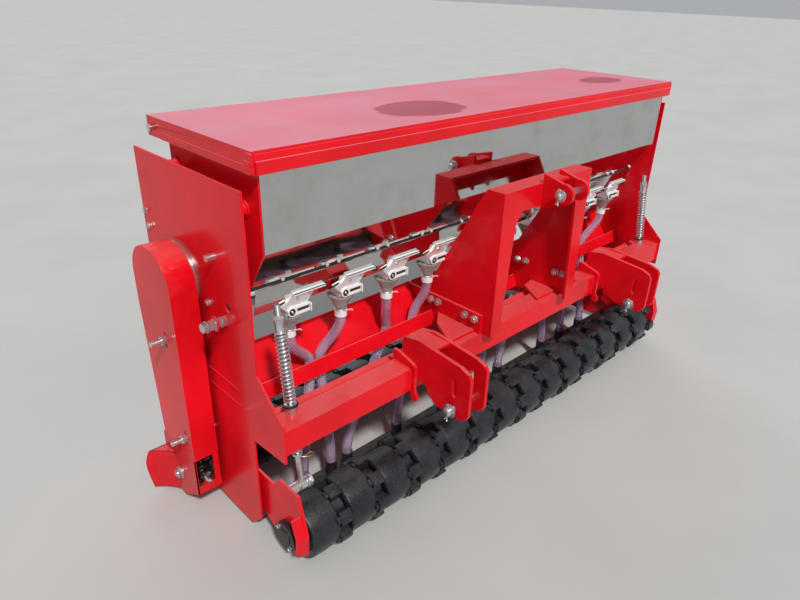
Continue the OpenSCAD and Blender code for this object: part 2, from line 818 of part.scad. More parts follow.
module inner_chain() {
    color([0.12, 0.12, 0.13])
    band(inner_x, 8, chain_t, [feed_y, feed_z, driven_r / 2], [idler_y, idler_z, driven_r / 2]);
}

guard_t = 2.5;
guard_r = driven_r + chain_t + 7;
// how far the guard's straight top runs forwards, and half its lower end behind the chain
guard_fore = 14;
guard_tail = 57;
guard_front = idler_y - guard_r - guard_fore;
guard_low = axle_z + 91;
// [y, z] of the studs that hold the guard
studs = [[idler_y - 38, idler_z - 124], [idler_y - 64, guard_low + 54]];
module guard_outline(g) {
    intersection() {
        union() {
            for (y = [idler_y - guard_fore, idler_y])
                translate([y, idler_z]) circle(r = guard_r - g);
            translate([idler_y - guard_fore, idler_z]) square([guard_fore, guard_r - g]);
            translate([guard_front + g, guard_low - g])
                square([2 * (guard_r - g) + guard_fore, idler_z - guard_low + g]);
        }
        polygon([[guard_front, guard_low - g], [idler_y + guard_tail - g, guard_low - g],
            [idler_y + guard_r - g, idler_z - guard_r], [idler_y + guard_r, idler_z + guard_r],
            [guard_front, idler_z + guard_r]]);
    }
}

module chain_guard() {
    color([0.88, 0.08, 0.13])
    difference() {
        translate([-guard_x, 0, 0]) rotate([90, 0, 90]) linear_extrude(guard_depth)
            guard_outline(0);
        translate([-guard_x + guard_t, 0, 0]) rotate([90, 0, 90]) linear_extrude(guard_depth)
            guard_outline(guard_t);
        for (p = studs)
            bar_side(-1, guard_x - 4, guard_x + cut, p[0], p[1], stud_r);
    }
}

// the foot under the guard flares outwards behind the rear axle
foot_z = 14;
foot_top = guard_low - 2;
foot_front = guard_front + 3;
foot_back = rear_y + 67;
foot_bend = rear_y - 10;
foot_rise = 52;
// the flare starts behind the nut on the axle's line
nut_r = 14;
flare_y = rear_y + nut_r + 2;
flare_l = 44;
flare_top = axle_z + 48;
// plan of the flare, g inside its faces
module foot_flare(g) {
    lap = g * (norm([foot_out, flare_l]) - flare_l) / foot_out;
    polygon([[-guard_x + 2 * guard_t, flare_y + lap], [-guard_x + g, flare_y + lap],
        [-foot_x + g, flare_y + flare_l + lap], [-foot_x + g, foot_back - g],
        [-guard_x + 2 * guard_t, foot_back - g]]);
}

// the foot's body, g inside its faces, its lower edge rising in front
module foot_body(g) {
    lift = g * norm([foot_bend - foot_front, foot_rise]) / (foot_bend - foot_front);
    intersection() {
        union() {
            translate([-guard_x + g, foot_front + g, foot_z])
                cube([guard_depth, foot_back - foot_front - 2 * g, foot_top - foot_z + g]);
            translate([0, 0, foot_z]) linear_extrude(flare_top - g - foot_z) foot_flare(g);
        }
        translate([-foot_x, 0, lift]) rotate([90, 0, 90]) linear_extrude(foot_x)
            polygon([[foot_front, foot_z + foot_rise], [foot_bend, foot_z], [foot_back, foot_z],
                [foot_back, foot_top + g], [foot_front, foot_top + g]]);
    }
}

foot_sill = 22;
module guard_foot() {
    color([0.80, 0.08, 0.13])
    difference() {
        foot_body(0);
        foot_body(guard_t);
        // window in front, where the chain shows
        translate([-guard_x + 4, foot_front - cut, foot_z + foot_rise + foot_sill])
            cube([guard_depth - 18, guard_t + 2 * cut, foot_top]);
    }
}

stud_r = 6;
stop_y = idler_y - 180;
stop_z = idler_z - 44;
module guard_studs() {
    color([0.75, 0.76, 0.78]) {
        for (p = studs) {
            bar_side(-1, plate_out, guard_x + 34, p[0], p[1], stud_r);
            hex_side(-1, guard_x, guard_x + nut_h, p[0], p[1], 11);
        }
        bar_side(-1, plate_out, guard_x - guard_t, foot_back - 10, foot_z + 118, stud_r);
        hex_side(-1, guard_x, guard_x + nut_h, rear_y, axle_z, nut_r);
        // chain adjuster ahead of the guard, with its nuts
        bar_side(-1, plate_out, plate_out + 52, stop_y, stop_z, stud_r);
        hex_side(-1, plate_out, plate_out + 10, stop_y, stop_z, 12);
        hex_side(-1, plate_out + 30, plate_out + 40, stop_y, stop_z, 12);
        // end of the stirrer's shaft
        bar_side(-1, plate_out, plate_out + 20, feed_y + 30, feed_z + 103, stud_r + 1);
    }
}

at_origin() side_plate_left();
at_origin() side_plate_right();
at_origin() front_beam();
at_origin() rear_beam();
at_origin() cross_strip();
at_origin() deflector();
at_origin() hopper_shell();
at_origin() hopper_ends();
at_origin() lid_pins();
at_origin() lid();
at_origin() mast_left();
at_origin() mast_right();
at_origin() mast_head();
at_origin() mast_gussets();
at_origin() tie_bars();
at_origin() top_pin();
at_origin() link_bracket_left();
at_origin() link_bracket_right();
at_origin() link_pin_left();
at_origin() link_pin_right();
at_origin() meter_bodies();
at_origin() meter_levers();
at_origin() slide_bar();
at_origin() feed_shaft();
at_origin() tube_collars();
at_origin() seed_tubes();
at_origin() boot_bar();
at_origin() seed_boots();
at_origin() front_rings();
at_origin() front_shaft();
at_origin() rear_rings();
at_origin() rear_shaft();
at_origin() arm_left();
at_origin() arm_right();
at_origin() spring_rods();
at_origin() springs();
at_origin() roller_bearings();
at_origin() drive_sprockets();
at_origin() idler_shaft();
at_origin() chain();
at_origin() inner_chain();
at_origin() chain_guard();
at_origin() guard_foot();
at_origin() guard_studs();
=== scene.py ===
import json
import math

import bmesh
import bpy
from mathutils import Matrix, Vector


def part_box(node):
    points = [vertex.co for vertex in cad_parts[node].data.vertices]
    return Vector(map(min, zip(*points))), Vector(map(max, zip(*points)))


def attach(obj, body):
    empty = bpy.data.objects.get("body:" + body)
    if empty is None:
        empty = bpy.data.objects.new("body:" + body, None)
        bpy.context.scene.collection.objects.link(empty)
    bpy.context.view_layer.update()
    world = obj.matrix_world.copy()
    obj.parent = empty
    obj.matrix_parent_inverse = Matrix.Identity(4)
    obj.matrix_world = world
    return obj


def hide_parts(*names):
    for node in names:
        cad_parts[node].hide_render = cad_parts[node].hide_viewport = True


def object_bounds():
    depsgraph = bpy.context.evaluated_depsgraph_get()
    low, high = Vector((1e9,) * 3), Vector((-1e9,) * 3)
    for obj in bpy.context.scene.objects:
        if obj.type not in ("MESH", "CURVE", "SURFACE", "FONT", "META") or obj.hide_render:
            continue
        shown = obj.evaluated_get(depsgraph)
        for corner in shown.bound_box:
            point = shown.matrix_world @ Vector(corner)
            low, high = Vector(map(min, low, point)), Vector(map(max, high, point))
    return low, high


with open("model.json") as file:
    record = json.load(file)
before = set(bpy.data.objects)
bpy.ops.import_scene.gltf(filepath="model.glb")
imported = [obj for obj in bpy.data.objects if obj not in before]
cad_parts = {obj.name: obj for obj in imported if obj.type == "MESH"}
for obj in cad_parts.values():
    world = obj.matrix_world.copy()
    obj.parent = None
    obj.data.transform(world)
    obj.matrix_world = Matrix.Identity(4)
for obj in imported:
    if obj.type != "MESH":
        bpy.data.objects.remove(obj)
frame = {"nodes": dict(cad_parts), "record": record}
CAD_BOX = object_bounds()
NODES = frame["nodes"]

# the machine's own millimetres: X from its middle, Y from the front roller's axis, Z from the ground
MM = 0.001
X_LOW, Y_HIGH = -927.0, 500.0
OFF = Vector((CAD_BOX[0].x / MM - X_LOW, CAD_BOX[1].y / MM - Y_HIGH, 0.0))


def at(x, y, z):
    """A place in the machine's millimetres, in the row frame's metres."""
    return (Vector((x, y, z)) + OFF) * MM


# sizes of the machine that the looks follow
AXLE_Z, REAR_Y = 79.0, 345.0
BEAM_Y, BEAM_BACK, BEAM_TOP, BEAM_LOW = -20.0, 40.0, 376.0, 316.0
PLATE_X, PLATE_OUT = 793.0, 798.0
BOX_X, BOX_FRONT, BOX_BACK, BOX_TOP, TROUGH_Z = 758.0, 60.0, 398.0, 912.0, 622.0
BEND_Z, KNEE_Z, TROUGH_Y0, TROUGH_Y1, BOX_T, END_T = 722.0, 800.0, 126.0, 182.0, 2.5, 4.0
LID_X, LID_Y0, LID_Y1, LID_Z, LID_LOW = 778.0, 48.0, 456.0, 920.0, 878.0
FEED_Y, FEED_Z = 150.0, 590.0
HINGE_Y, HINGE_Z = 435.0, 897.0
IDLER_Y, IDLER_Z = 345.0, 600.0
ROW_PITCH = 146.0
ROWS = [(i - 4.5) * ROW_PITCH for i in range(10)]
MAST_X, MAST_OUT, TIE_OUT = 176.0, 186.0, 194.0
RINGS, RING_PITCH, TIP_R, DRUM_R, LUGS = 14, 110.0, 79.0, 71.0, 7
SPROCKET_X, GUARD_X, INNER_X = 836.0, 870.0, 781.0
DRIVE_R, DRIVEN_R = 36.0, 64.0
ROD_X, ROD_Y, ROD_Z, ROD_LEAN = 742.0, 6.0, 194.0, 7.0
LINK_X, LINK_GAP, LINK_T = 402.0, 44.0, 10.0
LINK_PIN_Y, LINK_PIN_Z, LINK_PIN_R = -147.0, 330.0, 11.0
TOP_Y, TOP_Z, TOP_PIN_R, TOP_GAP, LUG_T = -110.0, 739.0, 9.5, 56.0, 10.0


# the directions across the machine, to its plain end, and up
X, UP = Vector((1.0, 0.0, 0.0)), Vector((0.0, 0.0, 1.0))


# building meshes

def turns(count):
    """The angles of a full turn in equal steps."""
    return [2 * math.pi * i / count for i in range(count)]


def around(p, q, r, a):
    """The point at the angle a on a circle of radius r about (p, q)."""
    return (p + r * math.cos(a), q + r * math.sin(a))


def arc(p, q, r, a0, a1, steps):
    """Points on an arc about (p, q) from the angle a0 to a1."""
    return [around(p, q, r, a0 + (a1 - a0) * i / steps) for i in range(steps + 1)]


def rim(centre, u, w, r, sides, turn=0.0):
    """Points round a centre in the plane of u and w."""
    return [centre + (u * math.cos(a + turn) + w * math.sin(a + turn)) * r for a in turns(sides)]


def bands(rows, count, closed=False):
    """Faces between rings of count points, one ring after the other."""
    faces = []
    for i in range(rows if closed else rows - 1):
        j = (i + 1) % rows
        faces += [[i * count + k, i * count + (k + 1) % count, j * count + (k + 1) % count,
                   j * count + k] for k in range(count)]
    return faces


class Build:
    """Vertices and faces in the machine's millimetres, gathered from simple operations."""

    def __init__(self):
        self.v, self.f = [], []

    def add(self, pts, faces):
        n = len(self.v)
        self.v += [Vector(p) for p in pts]
        self.f += [[n + i for i in f] for f in faces]
        return self

    def prism(self, outline, lo, hi, plane="yz"):
        """An outline of pairs, extruded along X (yz), Y (xz) or Z (xy) from lo to hi."""
        place = {"yz": lambda a, b, c: (c, a, b), "xz": lambda a, b, c: (a, c, b),
                 "xy": lambda a, b, c: (a, b, c)}[plane]
        n = len(outline)
        pts = [place(a, b, c) for c in (lo, hi) for a, b in outline]
        caps = [list(range(n)), [2 * n - 1 - i for i in range(n)]]
        return self.add(pts, caps + bands(2, n))

    def box(self, lo, hi):
        return self.prism([(lo[0], lo[1]), (hi[0], lo[1]), (hi[0], hi[1]), (lo[0], hi[1])],
                          lo[2], hi[2], "xy")

    def lathe(self, centre, axis, profile, sides=24, turn=0.0, closed=False):
        """Pairs of distance along the axis and radius, turned round it."""
        axis = Vector(axis).normalized()
        u = axis.orthogonal().normalized()
        w = axis.cross(u)
        c = Vector(centre)
        pts = []
        for d, r in profile:
            pts += rim(c + axis * d, u, w, r, sides, turn)
        m = len(profile)
        faces = bands(m, sides, closed)
        if not closed:
            faces += [list(range(sides)), [(m - 1) * sides + k for k in range(sides)][::-1]]
        return self.add(pts, faces)

    def bar(self, a, b, r, sides=20, chamfer=0.8):
        a, b = Vector(a), Vector(b)
        length, c = (b - a).length, min(chamfer, r * 0.4)
        return self.lathe(a, b - a, [(0, r - c), (c, r), (length - c, r), (length, r - c)], sides)

    def tube(self, path, radius, sides=16, closed=False):
        """A round bar along a path, with one radius or one for each point."""
        path = [Vector(p) for p in path]
        n = len(path)
        radii = radius if isinstance(radius, (list, tuple)) else [radius] * n
        runs = []
        for i in range(n):
            before = path[(i - 1) % n] if closed or i else path[i]
            after = path[(i + 1) % n] if closed or i < n - 1 else path[i]
            runs.append((after - before).normalized())
        u = runs[0].orthogonal().normalized()
        pts = []
        for i in range(n):
            u = (u - runs[i] * u.dot(runs[i])).normalized()
            pts += rim(path[i], u, runs[i].cross(u), radii[i], sides)
        faces = bands(n, sides, closed)
        if not closed:
            faces += [list(range(sides))[::-1], [(n - 1) * sides + k for k in range(sides)]]
        return self.add(pts, faces)

    def nut(self, centre, axis, across, height, turn=0.0):
        """A hexagonal nut or bolt head with chamfered corners."""
        r = across / math.sqrt(3)
        return self.lathe(centre, axis, [(0, r * 0.94), (height * 0.14, r), (height * 0.84, r),
                                         (height, r * 0.88)], 6, turn)

    def washer(self, centre, axis, r, t):
        return self.lathe(centre, axis, [(0, r), (t * 0.7, r), (t, r - t * 0.3)], 24)

    def bolt(self, centre, axis, across, turn, stub=0.0):
        """A washer with a bolt's head on it, or a nut with the bolt's end standing out."""
        axis = Vector(axis).normalized()
        c = Vector(centre)
        self.washer(c, axis, across * 0.62, 1.6)
        self.nut(c + axis * 1.5, axis, across, across * 0.46, turn)
        if stub:
            self.bar(c + axis * (across * 0.4), c + axis * (across * 0.46 + stub),
                     across * 0.29, 14)
        else:
            self.lathe(c + axis * (1.4 + across * 0.46), axis,
                       [(0, across * 0.36), (0.5, across * 0.34)], 18)
        return self


def shown(name, data):
    """A new object in the scene."""
    obj = bpy.data.objects.new(name, data)
    bpy.context.scene.collection.objects.link(obj)
    return obj


def round_edges(obj, width):
    """A small round on an object's sharp edges, its width in millimetres."""
    edge = obj.modifiers.new("edges", "BEVEL")
    edge.width, edge.segments, edge.limit_method = width * MM, 2, "ANGLE"
    edge.angle_limit = math.radians(40)
    edge.harden_normals = True


def make(name, build, slot, replaces=(), bevel=0.0, angle=35.0, body="chassis", finish=None):
    """One object from what was gathered, riding on a body, in its slot's finish or another."""
    mesh = bpy.data.meshes.new(name)
    mesh.from_pydata([(p + OFF) * MM for p in build.v], [], build.f)
    b = bmesh.new()
    b.from_mesh(mesh)
    bmesh.ops.recalc_face_normals(b, faces=b.faces)
    b.to_mesh(mesh)
    b.free()
    mesh.materials.append(M[finish or slot])
    mesh.shade_smooth()
    mesh.set_sharp_from_angle(angle=math.radians(angle))
    obj = shown(name, mesh)
    if bevel:
        round_edges(obj, bevel)
    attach(obj, body)
    if replaces:
        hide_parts(*replaces)
    return obj


# materials

class Nodes:
    """Short calls for the nodes of one material."""

    def __init__(self, name):
        self.mat = bpy.data.materials.new(name)
        self.mat.use_nodes = True
        self.nt = self.mat.node_tree
        self.nt.nodes.clear()
        self.out = self.new("ShaderNodeOutputMaterial")
        self.bsdf = self.new("ShaderNodeBsdfPrincipled")
        self.link(self.bsdf.outputs[0], self.out.inputs[0])
        self.tc = self.new("ShaderNodeTexCoord")
        self.obj = self.tc.outputs["Object"]

    def new(self, kind, inputs=None, **props):
        """A node with its settings, and with values or links at its inputs."""
        n = self.nt.nodes.new(kind)
        for k, v in props.items():
            setattr(n, k, v)
        for k, v in (inputs or {}).items():
            self.put(n.inputs[k], v)
        return n

    def link(self, a, b):
        self.nt.links.new(a, b)

    def put(self, socket, value):
        if hasattr(value, "is_output"):
            self.link(value, socket)
        else:
            socket.default_value = value

    def set(self, **values):
        for k, v in values.items():
            self.put(self.bsdf.inputs[k.replace("_", " ")], v)

    def noise(self, scale, detail=3.0, rough=0.55, stretch=None):
        place = self.obj
        if stretch:
            place = self.new("ShaderNodeMapping", {"Vector": place, "Scale": stretch}).outputs[0]
        return self.new("ShaderNodeTexNoise", {"Vector": place, "Scale": scale, "Detail": detail,
                                               "Roughness": rough}).outputs[0]

    def cells(self, scale):
        return self.new("ShaderNodeTexVoronoi", {"Vector": self.obj, "Scale": scale}).outputs["Distance"]

    def math(self, op, a, b, clamp=False):
        return self.new("ShaderNodeMath", {0: a, 1: b}, operation=op, use_clamp=clamp).outputs[0]

    def times(self, first, *others):
        """The product of two or more values, taken in turn."""
        for value in others:
            first = self.math("MULTIPLY", first, value)
        return first

    def span(self, value, a, b, c=0.0, d=1.0, kind="SMOOTHSTEP"):
        """value taken from the range a to b onto c to d."""
        return self.new("ShaderNodeMapRange", {"Value": value, "From Min": a, "From Max": b, "To Min": c,
                                               "To Max": d}, interpolation_type=kind).outputs[0]

    def mix(self, fac, a, b):
        a, b = ((*v, 1.0) if isinstance(v, tuple) else v for v in (a, b))
        return self.new("ShaderNodeMix", {"Factor": fac, 6: a, 7: b}, data_type="RGBA").outputs[2]

    def axis(self, k, source=None):
        return self.new("ShaderNodeSeparateXYZ", {0: source or self.obj}).outputs[k]

    def up(self, lo=0.55, hi=0.95):
        """1 on faces that look up, 0 on the rest."""
        return self.span(self.axis(2, self.tc.outputs["Normal"]), lo, hi)

    def bump(self, height, strength, distance):
        n = self.new("ShaderNodeBump", {"Strength": strength, "Distance": distance, "Height": height})
        self.set(Normal=n.outputs[0])


RED = (0.79, 0.005, 0.014)
RED_DEEP = (0.64, 0.003, 0.009)
DUST = (0.50, 0.20, 0.20)
SPECK = (0.70, 0.52, 0.48)


def paint(name, red=RED, level=0.52, side=0.02, gloss=0.20):
    """Glossy red paint, with pale dust where the faces look up."""
    n = Nodes(name)
    base = n.mix(n.span(n.noise(5.0, 2.0), 0.3, 0.7), red, RED_DEEP)
    cloud = n.span(n.noise(14.0, 4.0, 0.65), 0.25, 0.75, 0.55, 1.0)
    grain = n.span(n.noise(420.0, 2.0, 0.7), 0.30, 0.72, 0.35, 1.0)
    speck = n.span(n.cells(240.0), 0.10, 0.26, 1.0, 0.0)
    lying = n.times(n.times(n.up(), level), n.times(cloud, grain))
    film = n.times(n.span(n.noise(60.0, 5.0, 0.7), 0.45, 0.8), side)
    dust = n.math("ADD", lying, film, clamp=True)
    patchy = n.span(n.noise(30.0, 2.0), 0.4, 0.7, 0.0, 0.45)
    specks = n.times(n.times(speck, n.up()), patchy)
    n.set(Base_Color=n.mix(specks, n.mix(dust, base, DUST), SPECK),
          Roughness=n.span(dust, 0.0, 0.6, gloss + 0.06, 0.62),
          Coat_Weight=n.span(dust, 0.0, 0.45, 0.16, 0.02),
          Coat_Roughness=0.06, Specular_IOR_Level=0.14)
    orange_peel = n.noise(110.0, 2.0)
    n.bump(n.math("ADD", orange_peel, n.times(grain, n.times(dust, 1.5))), 0.05, 0.0015)
    return n.mat


# two stains on the lid where it was wetted: middle x, y and radii
STAINS = ((-245.0, 176.0, 124.0, 92.0), (598.0, 200.0, 92.0, 58.0))


def lid_paint():
    """The lid: red under a fine layer of dust, with two darker stains."""
    n = Nodes("lid_paint")
    base = n.mix(n.span(n.noise(4.0, 3.0), 0.3, 0.7), RED, RED_DEEP)
    grain = n.span(n.noise(500.0, 2.0, 0.7), 0.25, 0.75, 0.72, 1.0)
    cloud = n.span(n.noise(7.0, 5.0, 0.6), 0.25, 0.75, 0.78, 1.0)
    wipe = n.span(n.noise(3.0, 4.0, 0.6, stretch=(0.3, 3.0, 1.0)), 0.35, 0.65, 0.88, 1.0)
    fine = n.times(cloud, n.times(grain, wipe))
    dust = n.times(n.times(n.up(0.5, 0.9), 0.92), fine)
    warp = n.noise(22.0, 4.0, 0.6)
    stain = None
    for cx, cy, rx, ry in STAINS:
        c = at(cx, cy, LID_Z)
        dx = n.math("DIVIDE", n.math("SUBTRACT", n.axis(0), c.x), rx * MM)
        dy = n.math("DIVIDE", n.math("SUBTRACT", n.axis(1), c.y), ry * MM)
        dist = n.math("ADD", n.times(dx, dx), n.times(dy, dy))
        wavy = n.math("ADD", dist, n.times(n.math("SUBTRACT", warp, 0.5), 1.1))
        one = n.span(wavy, 0.80, 1.02, 1.0, 0.0)
        stain = one if stain is None else n.math("MAXIMUM", stain, one)
    wet = n.times(stain, n.up(0.5, 0.9))
    dust = n.times(dust, n.span(wet, 0.0, 1.0, 1.0, 0.30, kind="LINEAR"))
    colour = n.mix(dust, base, (0.58, 0.27, 0.36))
    colour = n.mix(n.times(wet, 0.80), colour, (0.30, 0.020, 0.055))
    n.set(Base_Color=colour, Roughness=n.span(dust, 0.0, 0.6, 0.30, 0.52),
          Coat_Weight=n.span(dust, 0.1, 0.6, 0.14, 0.04), Coat_Roughness=0.12,
          Specular_IOR_Level=0.22)
    n.bump(n.math("ADD", n.noise(3.0, 1.0), n.times(grain, 0.02)), 0.10, 0.004)
    return n.mat


def metal(name, colour, dark, rough, scale=60.0, metallic=1.0, dirt=0.25):
    """Bare or plated metal with a varied finish and some dirt on it."""
    n = Nodes(name)
    vary = n.span(n.noise(scale, 4.0, 0.6), 0.3, 0.7)
    grime = n.times(n.span(n.noise(35.0, 5.0, 0.7), 0.5, 0.75), dirt)
    base = n.mix(vary, colour, dark)
    n.set(Base_Color=n.mix(grime, base, (0.16, 0.12, 0.10)),
          Roughness=n.math("ADD", n.span(vary, 0.0, 1.0, rough, rough + 0.12), n.times(grime, 0.35)),
          Metallic=n.span(grime, 0.0, 0.6, metallic, metallic * 0.4))
    n.bump(n.noise(scale * 6.0, 2.0), 0.04, 0.0008)
    return n.mat


def mirror_steel():
    """Polished stainless sheet: clear reflections with a faint wave and a little film."""
    n = Nodes("polished_steel")
    film = n.span(n.noise(9.0, 5.0, 0.65), 0.45, 0.8)
    n.set(Base_Color=n.mix(film, (0.55, 0.56, 0.56), (0.47, 0.45, 0.42)), Metallic=1.0,
          Roughness=n.span(film, 0.0, 1.0, 0.045, 0.16))
    n.bump(n.noise(2.2, 1.0, stretch=(0.5, 2.0, 2.0)), 0.10, 0.01)
    return n.mat


def rubber_black():
    """Black castings with brown dust and grit lying on their tops."""
    n = Nodes("ring_black")
    vary = n.span(n.noise(30.0, 4.0), 0.3, 0.7)
    base = n.mix(vary, (0.008, 0.010, 0.014), (0.018, 0.020, 0.026))
    grain = n.span(n.noise(380.0, 3.0, 0.75), 0.35, 0.7)
    cloud = n.span(n.noise(12.0, 5.0, 0.65), 0.35, 0.68)
    top = n.times(n.times(n.up(0.35, 0.95), cloud), n.span(grain, 0.0, 1.0, 0.30, 1.0))
    scuff = n.times(n.span(n.noise(90.0, 4.0, 0.7, stretch=(1.0, 0.4, 0.4)), 0.58, 0.72), 0.25)
    dust = n.math("ADD", n.times(top, 0.75), scuff, clamp=True)
    grit = n.times(n.span(n.cells(210.0), 0.10, 0.24, 1.0, 0.0), n.up(0.1, 0.8))
    grit = n.times(grit, n.span(n.noise(25.0, 3.0), 0.35, 0.65, 0.15, 0.85))
    n.set(Base_Color=n.mix(grit, n.mix(dust, base, (0.060, 0.056, 0.054)), (0.17, 0.16, 0.15)),
          Roughness=n.span(dust, 0.0, 0.7, 0.27, 0.74), Specular_IOR_Level=0.42)
    pits = n.times(n.noise(160.0, 4.0, 0.6), 0.6)
    n.bump(n.math("ADD", pits, n.times(grain, 0.4)), 0.22, 0.0016)
    return n.mat


def clear_tube():
    """Soft clear tube, faintly violet, a little cloudy, streaked along its length."""
    n = Nodes("clear_tube")
    cloud = n.span(n.noise(7.0, 2.0, 0.5, stretch=(2.0, 2.0, 0.5)), 0.2, 0.8)
    n.set(Base_Color=n.mix(cloud, (0.80, 0.62, 0.84), (0.86, 0.72, 0.89)),
          Roughness=n.span(cloud, 0.0, 1.0, 0.07, 0.14),
          Transmission_Weight=n.span(cloud, 0.0, 1.0, 0.84, 0.72), IOR=1.38, Coat_Weight=0.6,
          Coat_Roughness=0.06)
    n.bump(n.noise(45.0, 2.0), 0.05, 0.002)
    return n.mat


def cloudy_plastic():
    """The translucent funnels under the metering units."""
    n = Nodes("funnel_plastic")
    cloud = n.span(n.noise(40.0, 3.0, 0.6), 0.3, 0.7)
    n.set(Base_Color=n.mix(cloud, (0.40, 0.36, 0.34), (0.58, 0.54, 0.52)),
          Roughness=n.span(cloud, 0.0, 1.0, 0.22, 0.38), Transmission_Weight=0.45, IOR=1.35)
    n.bump(n.noise(90.0, 2.0), 0.05, 0.001)
    return n.mat


def white_plastic():
    """Satin white, soiled in patches."""
    n = Nodes("white_plastic")
    soil = n.span(n.noise(55.0, 4.0, 0.65), 0.5, 0.8)
    n.set(Base_Color=n.mix(n.times(soil, 0.5), (0.80, 0.80, 0.79), (0.45, 0.40, 0.36)),
          Roughness=n.span(soil, 0.0, 1.0, 0.34, 0.6))
    n.bump(n.noise(200.0, 2.0), 0.04, 0.0006)
    return n.mat


def floor_material():
    """Plain, pale and matt, so that it keeps the machine's shadow."""
    n = Nodes("floor")
    soft = n.span(n.noise(1.6, 3.0), 0.3, 0.7)
    n.set(Base_Color=n.mix(soft, (0.45, 0.45, 0.44), (0.48, 0.48, 0.47)), Roughness=0.9,
          Specular_IOR_Level=0.2)
    n.bump(n.noise(120.0, 3.0), 0.06, 0.002)
    return n.mat


# finishes by the names of their slots, and three more that some pieces have instead
M = {
    "red_paint": paint("red_paint"),
    # red_dull's darker red is painted shade for the chain guard's shaded faces; its heavier pale film is
    # dust
    "red_dull": paint("red_dull", red=(0.56, 0.010, 0.020), level=0.4, side=0.10, gloss=0.26),
    "lid_paint": lid_paint(),
    "stainless": mirror_steel(),
    "zinc": metal("zinc", (0.72, 0.73, 0.75), (0.52, 0.52, 0.54), 0.24, metallic=0.92),
    "plated_steel": metal("bright_zinc", (0.86, 0.86, 0.87), (0.74, 0.74, 0.74), 0.40, metallic=0.75,
                          dirt=0.10),
    "spring_steel": metal("spring_zinc", (0.76, 0.78, 0.81), (0.58, 0.60, 0.63), 0.22, scale=120.0,
                          metallic=0.9),
    "black_rings": rubber_black(),
    "dark_steel": metal("dark_steel", (0.045, 0.043, 0.042), (0.085, 0.075, 0.066), 0.36, metallic=0.8,
                        dirt=0.35),
    "brass": metal("brass_clip", (0.62, 0.45, 0.22), (0.50, 0.36, 0.20), 0.25),
    "clear_tube": clear_tube(),
    "funnel": cloudy_plastic(),
    "white_plastic": white_plastic(),
}


# the solids' plates: vertices nearer than this are joined, and then the edges are rounded
JOIN, PLATE_EDGE = 0.02, 0.9


def dress_nodes():
    """Every carried-over solid gets its finish, and plates get a small edge round."""
    slots = {s["node"]: s["material_slot"] for s in frame["record"]["subparts"]}
    for name, obj in NODES.items():
        obj.data.materials.clear()
        obj.data.materials.append(M[slots[name]])
        if slots[name] in ("red_paint", "lid_paint"):
            weld = obj.modifiers.new("weld", "WELD")
            weld.merge_threshold = JOIN * MM
            round_edges(obj, PLATE_EDGE)


# the rollers' rings

def ring_blades(build, x0, y, lead):
    """One ring: a broad drum with worn square edges, then a narrow band with lugs."""
    wide, narrow = RING_PITCH * 0.7, RING_PITCH * 0.3 - 2.0
    r, hole, root, worn, sides = DRUM_R, 31.0, TIP_R - 27.0, 1.6, 40
    build.lathe((x0, y, AXLE_Z), X,
                [(5, hole), (1.5, r - 14), (1.5, r - 5.0), (4.0, r - 1.2), (9, r),
                 (wide * 0.5, r + 0.8), (wide - 9, r), (wide - 4.0, r - 1.2),
                 (wide - 1.0, r - 5.0), (wide - 1.0, r - 14), (wide - 4, hole)], sides, closed=True)
    build.lathe((x0 + wide, y, AXLE_Z), X, [(-2, hole), (-2, root), (narrow, root), (narrow, hole)],
                sides, closed=True)
    # lugs on the narrow band, each with sloped flanks, and small pads that lap over the drum's edge
    half = 0.45 * math.pi / LUGS
    lugs = ((wide - 1, wide + narrow, TIP_R, 1.0), (wide - 9, wide + 1, TIP_R - 3.2, 0.52))
    for turn in turns(LUGS):
        a = turn - math.pi / 2 + lead * half
        for lo, hi, top, share in lugs:
            pts, n = [], 5
            for x, drop in ((lo, worn), (lo + worn, 0.0), (hi - worn, 0.0), (hi, worn)):
                for i in range(n):
                    edge = worn if i in (0, n - 1) else 0.0
                    b = a + half * share * (2 * i / (n - 1) - 1)
                    pts.append((x0 + x, *around(y, AXLE_Z, top - drop - edge, b)))
                for i in reversed(range(n)):
                    b = a + half * share * 1.16 * (2 * i / (n - 1) - 1)
                    pts.append((x0 + x, *around(y, AXLE_Z, root - 3, b)))
            m = 2 * n
            caps = [list(range(m))[::-1], [3 * m + i for i in range(m)]]
            build.add(pts, caps + bands(4, m))


def rollers():
    """Both rollers' rings, with a washer at each end of a row."""
    for name, body, y in (("front", "front_roller", 0.0), ("rear", "rear_roller", REAR_Y)):
        b = Build()
        for i in range(RINGS):
            ring_blades(b, (i - RINGS / 2) * RING_PITCH, y, 2 * (i % 2) - 1)
        make(f"{name}_ring_castings", b, "black_rings", (f"{name}_rings",), angle=32, body=body)
        e = Build()
        for s in (-1, 1):
            e.lathe((s * RINGS * RING_PITCH / 2, y, AXLE_Z), X * s,
                    [(0, 20), (0, 34), (2.5, 34), (3.5, 32), (3.5, 20.5)], 32, closed=True)
        make(f"{name}_ring_washers", e, "dark_steel", body=body)


# the clear seed tubes, on the same routes as their solids

# how far each tube's middle and foot lie to the side of its top
SHIFTS = [(64, 9), (-48, -52), (22, -145), (-26, -111), (-17, -47), (-13, -37), (20, -96),
          (-25, 2), (-30, -31), (-60, -50)]
TUBE_R = 12.5
OUTLET_Z, MID_Y, MID_Z, BOOT_Y, BOOT_Z, BOOT_H = 490.0, 171.5, 380.0, 136.0, 22.0, 53.0
# the twisted ends of a wire clamp, from the tube's middle at the outlet
CLAMP_ENDS = (((4, -13.5, 4), (13, -17.5, 1.5), (22, -18.5, -2)),
              ((4, -14.0, 1), (12, -19.5, 4.5), (17, -22.5, 4)))


def cubic(p, t):
    """The point at t on a cubic curve with four control points."""
    return (p[0] * (1 - t) ** 3 + p[1] * (3 * t * (1 - t) ** 2) + p[2] * (3 * t * t * (1 - t))
            + p[3] * t ** 3)


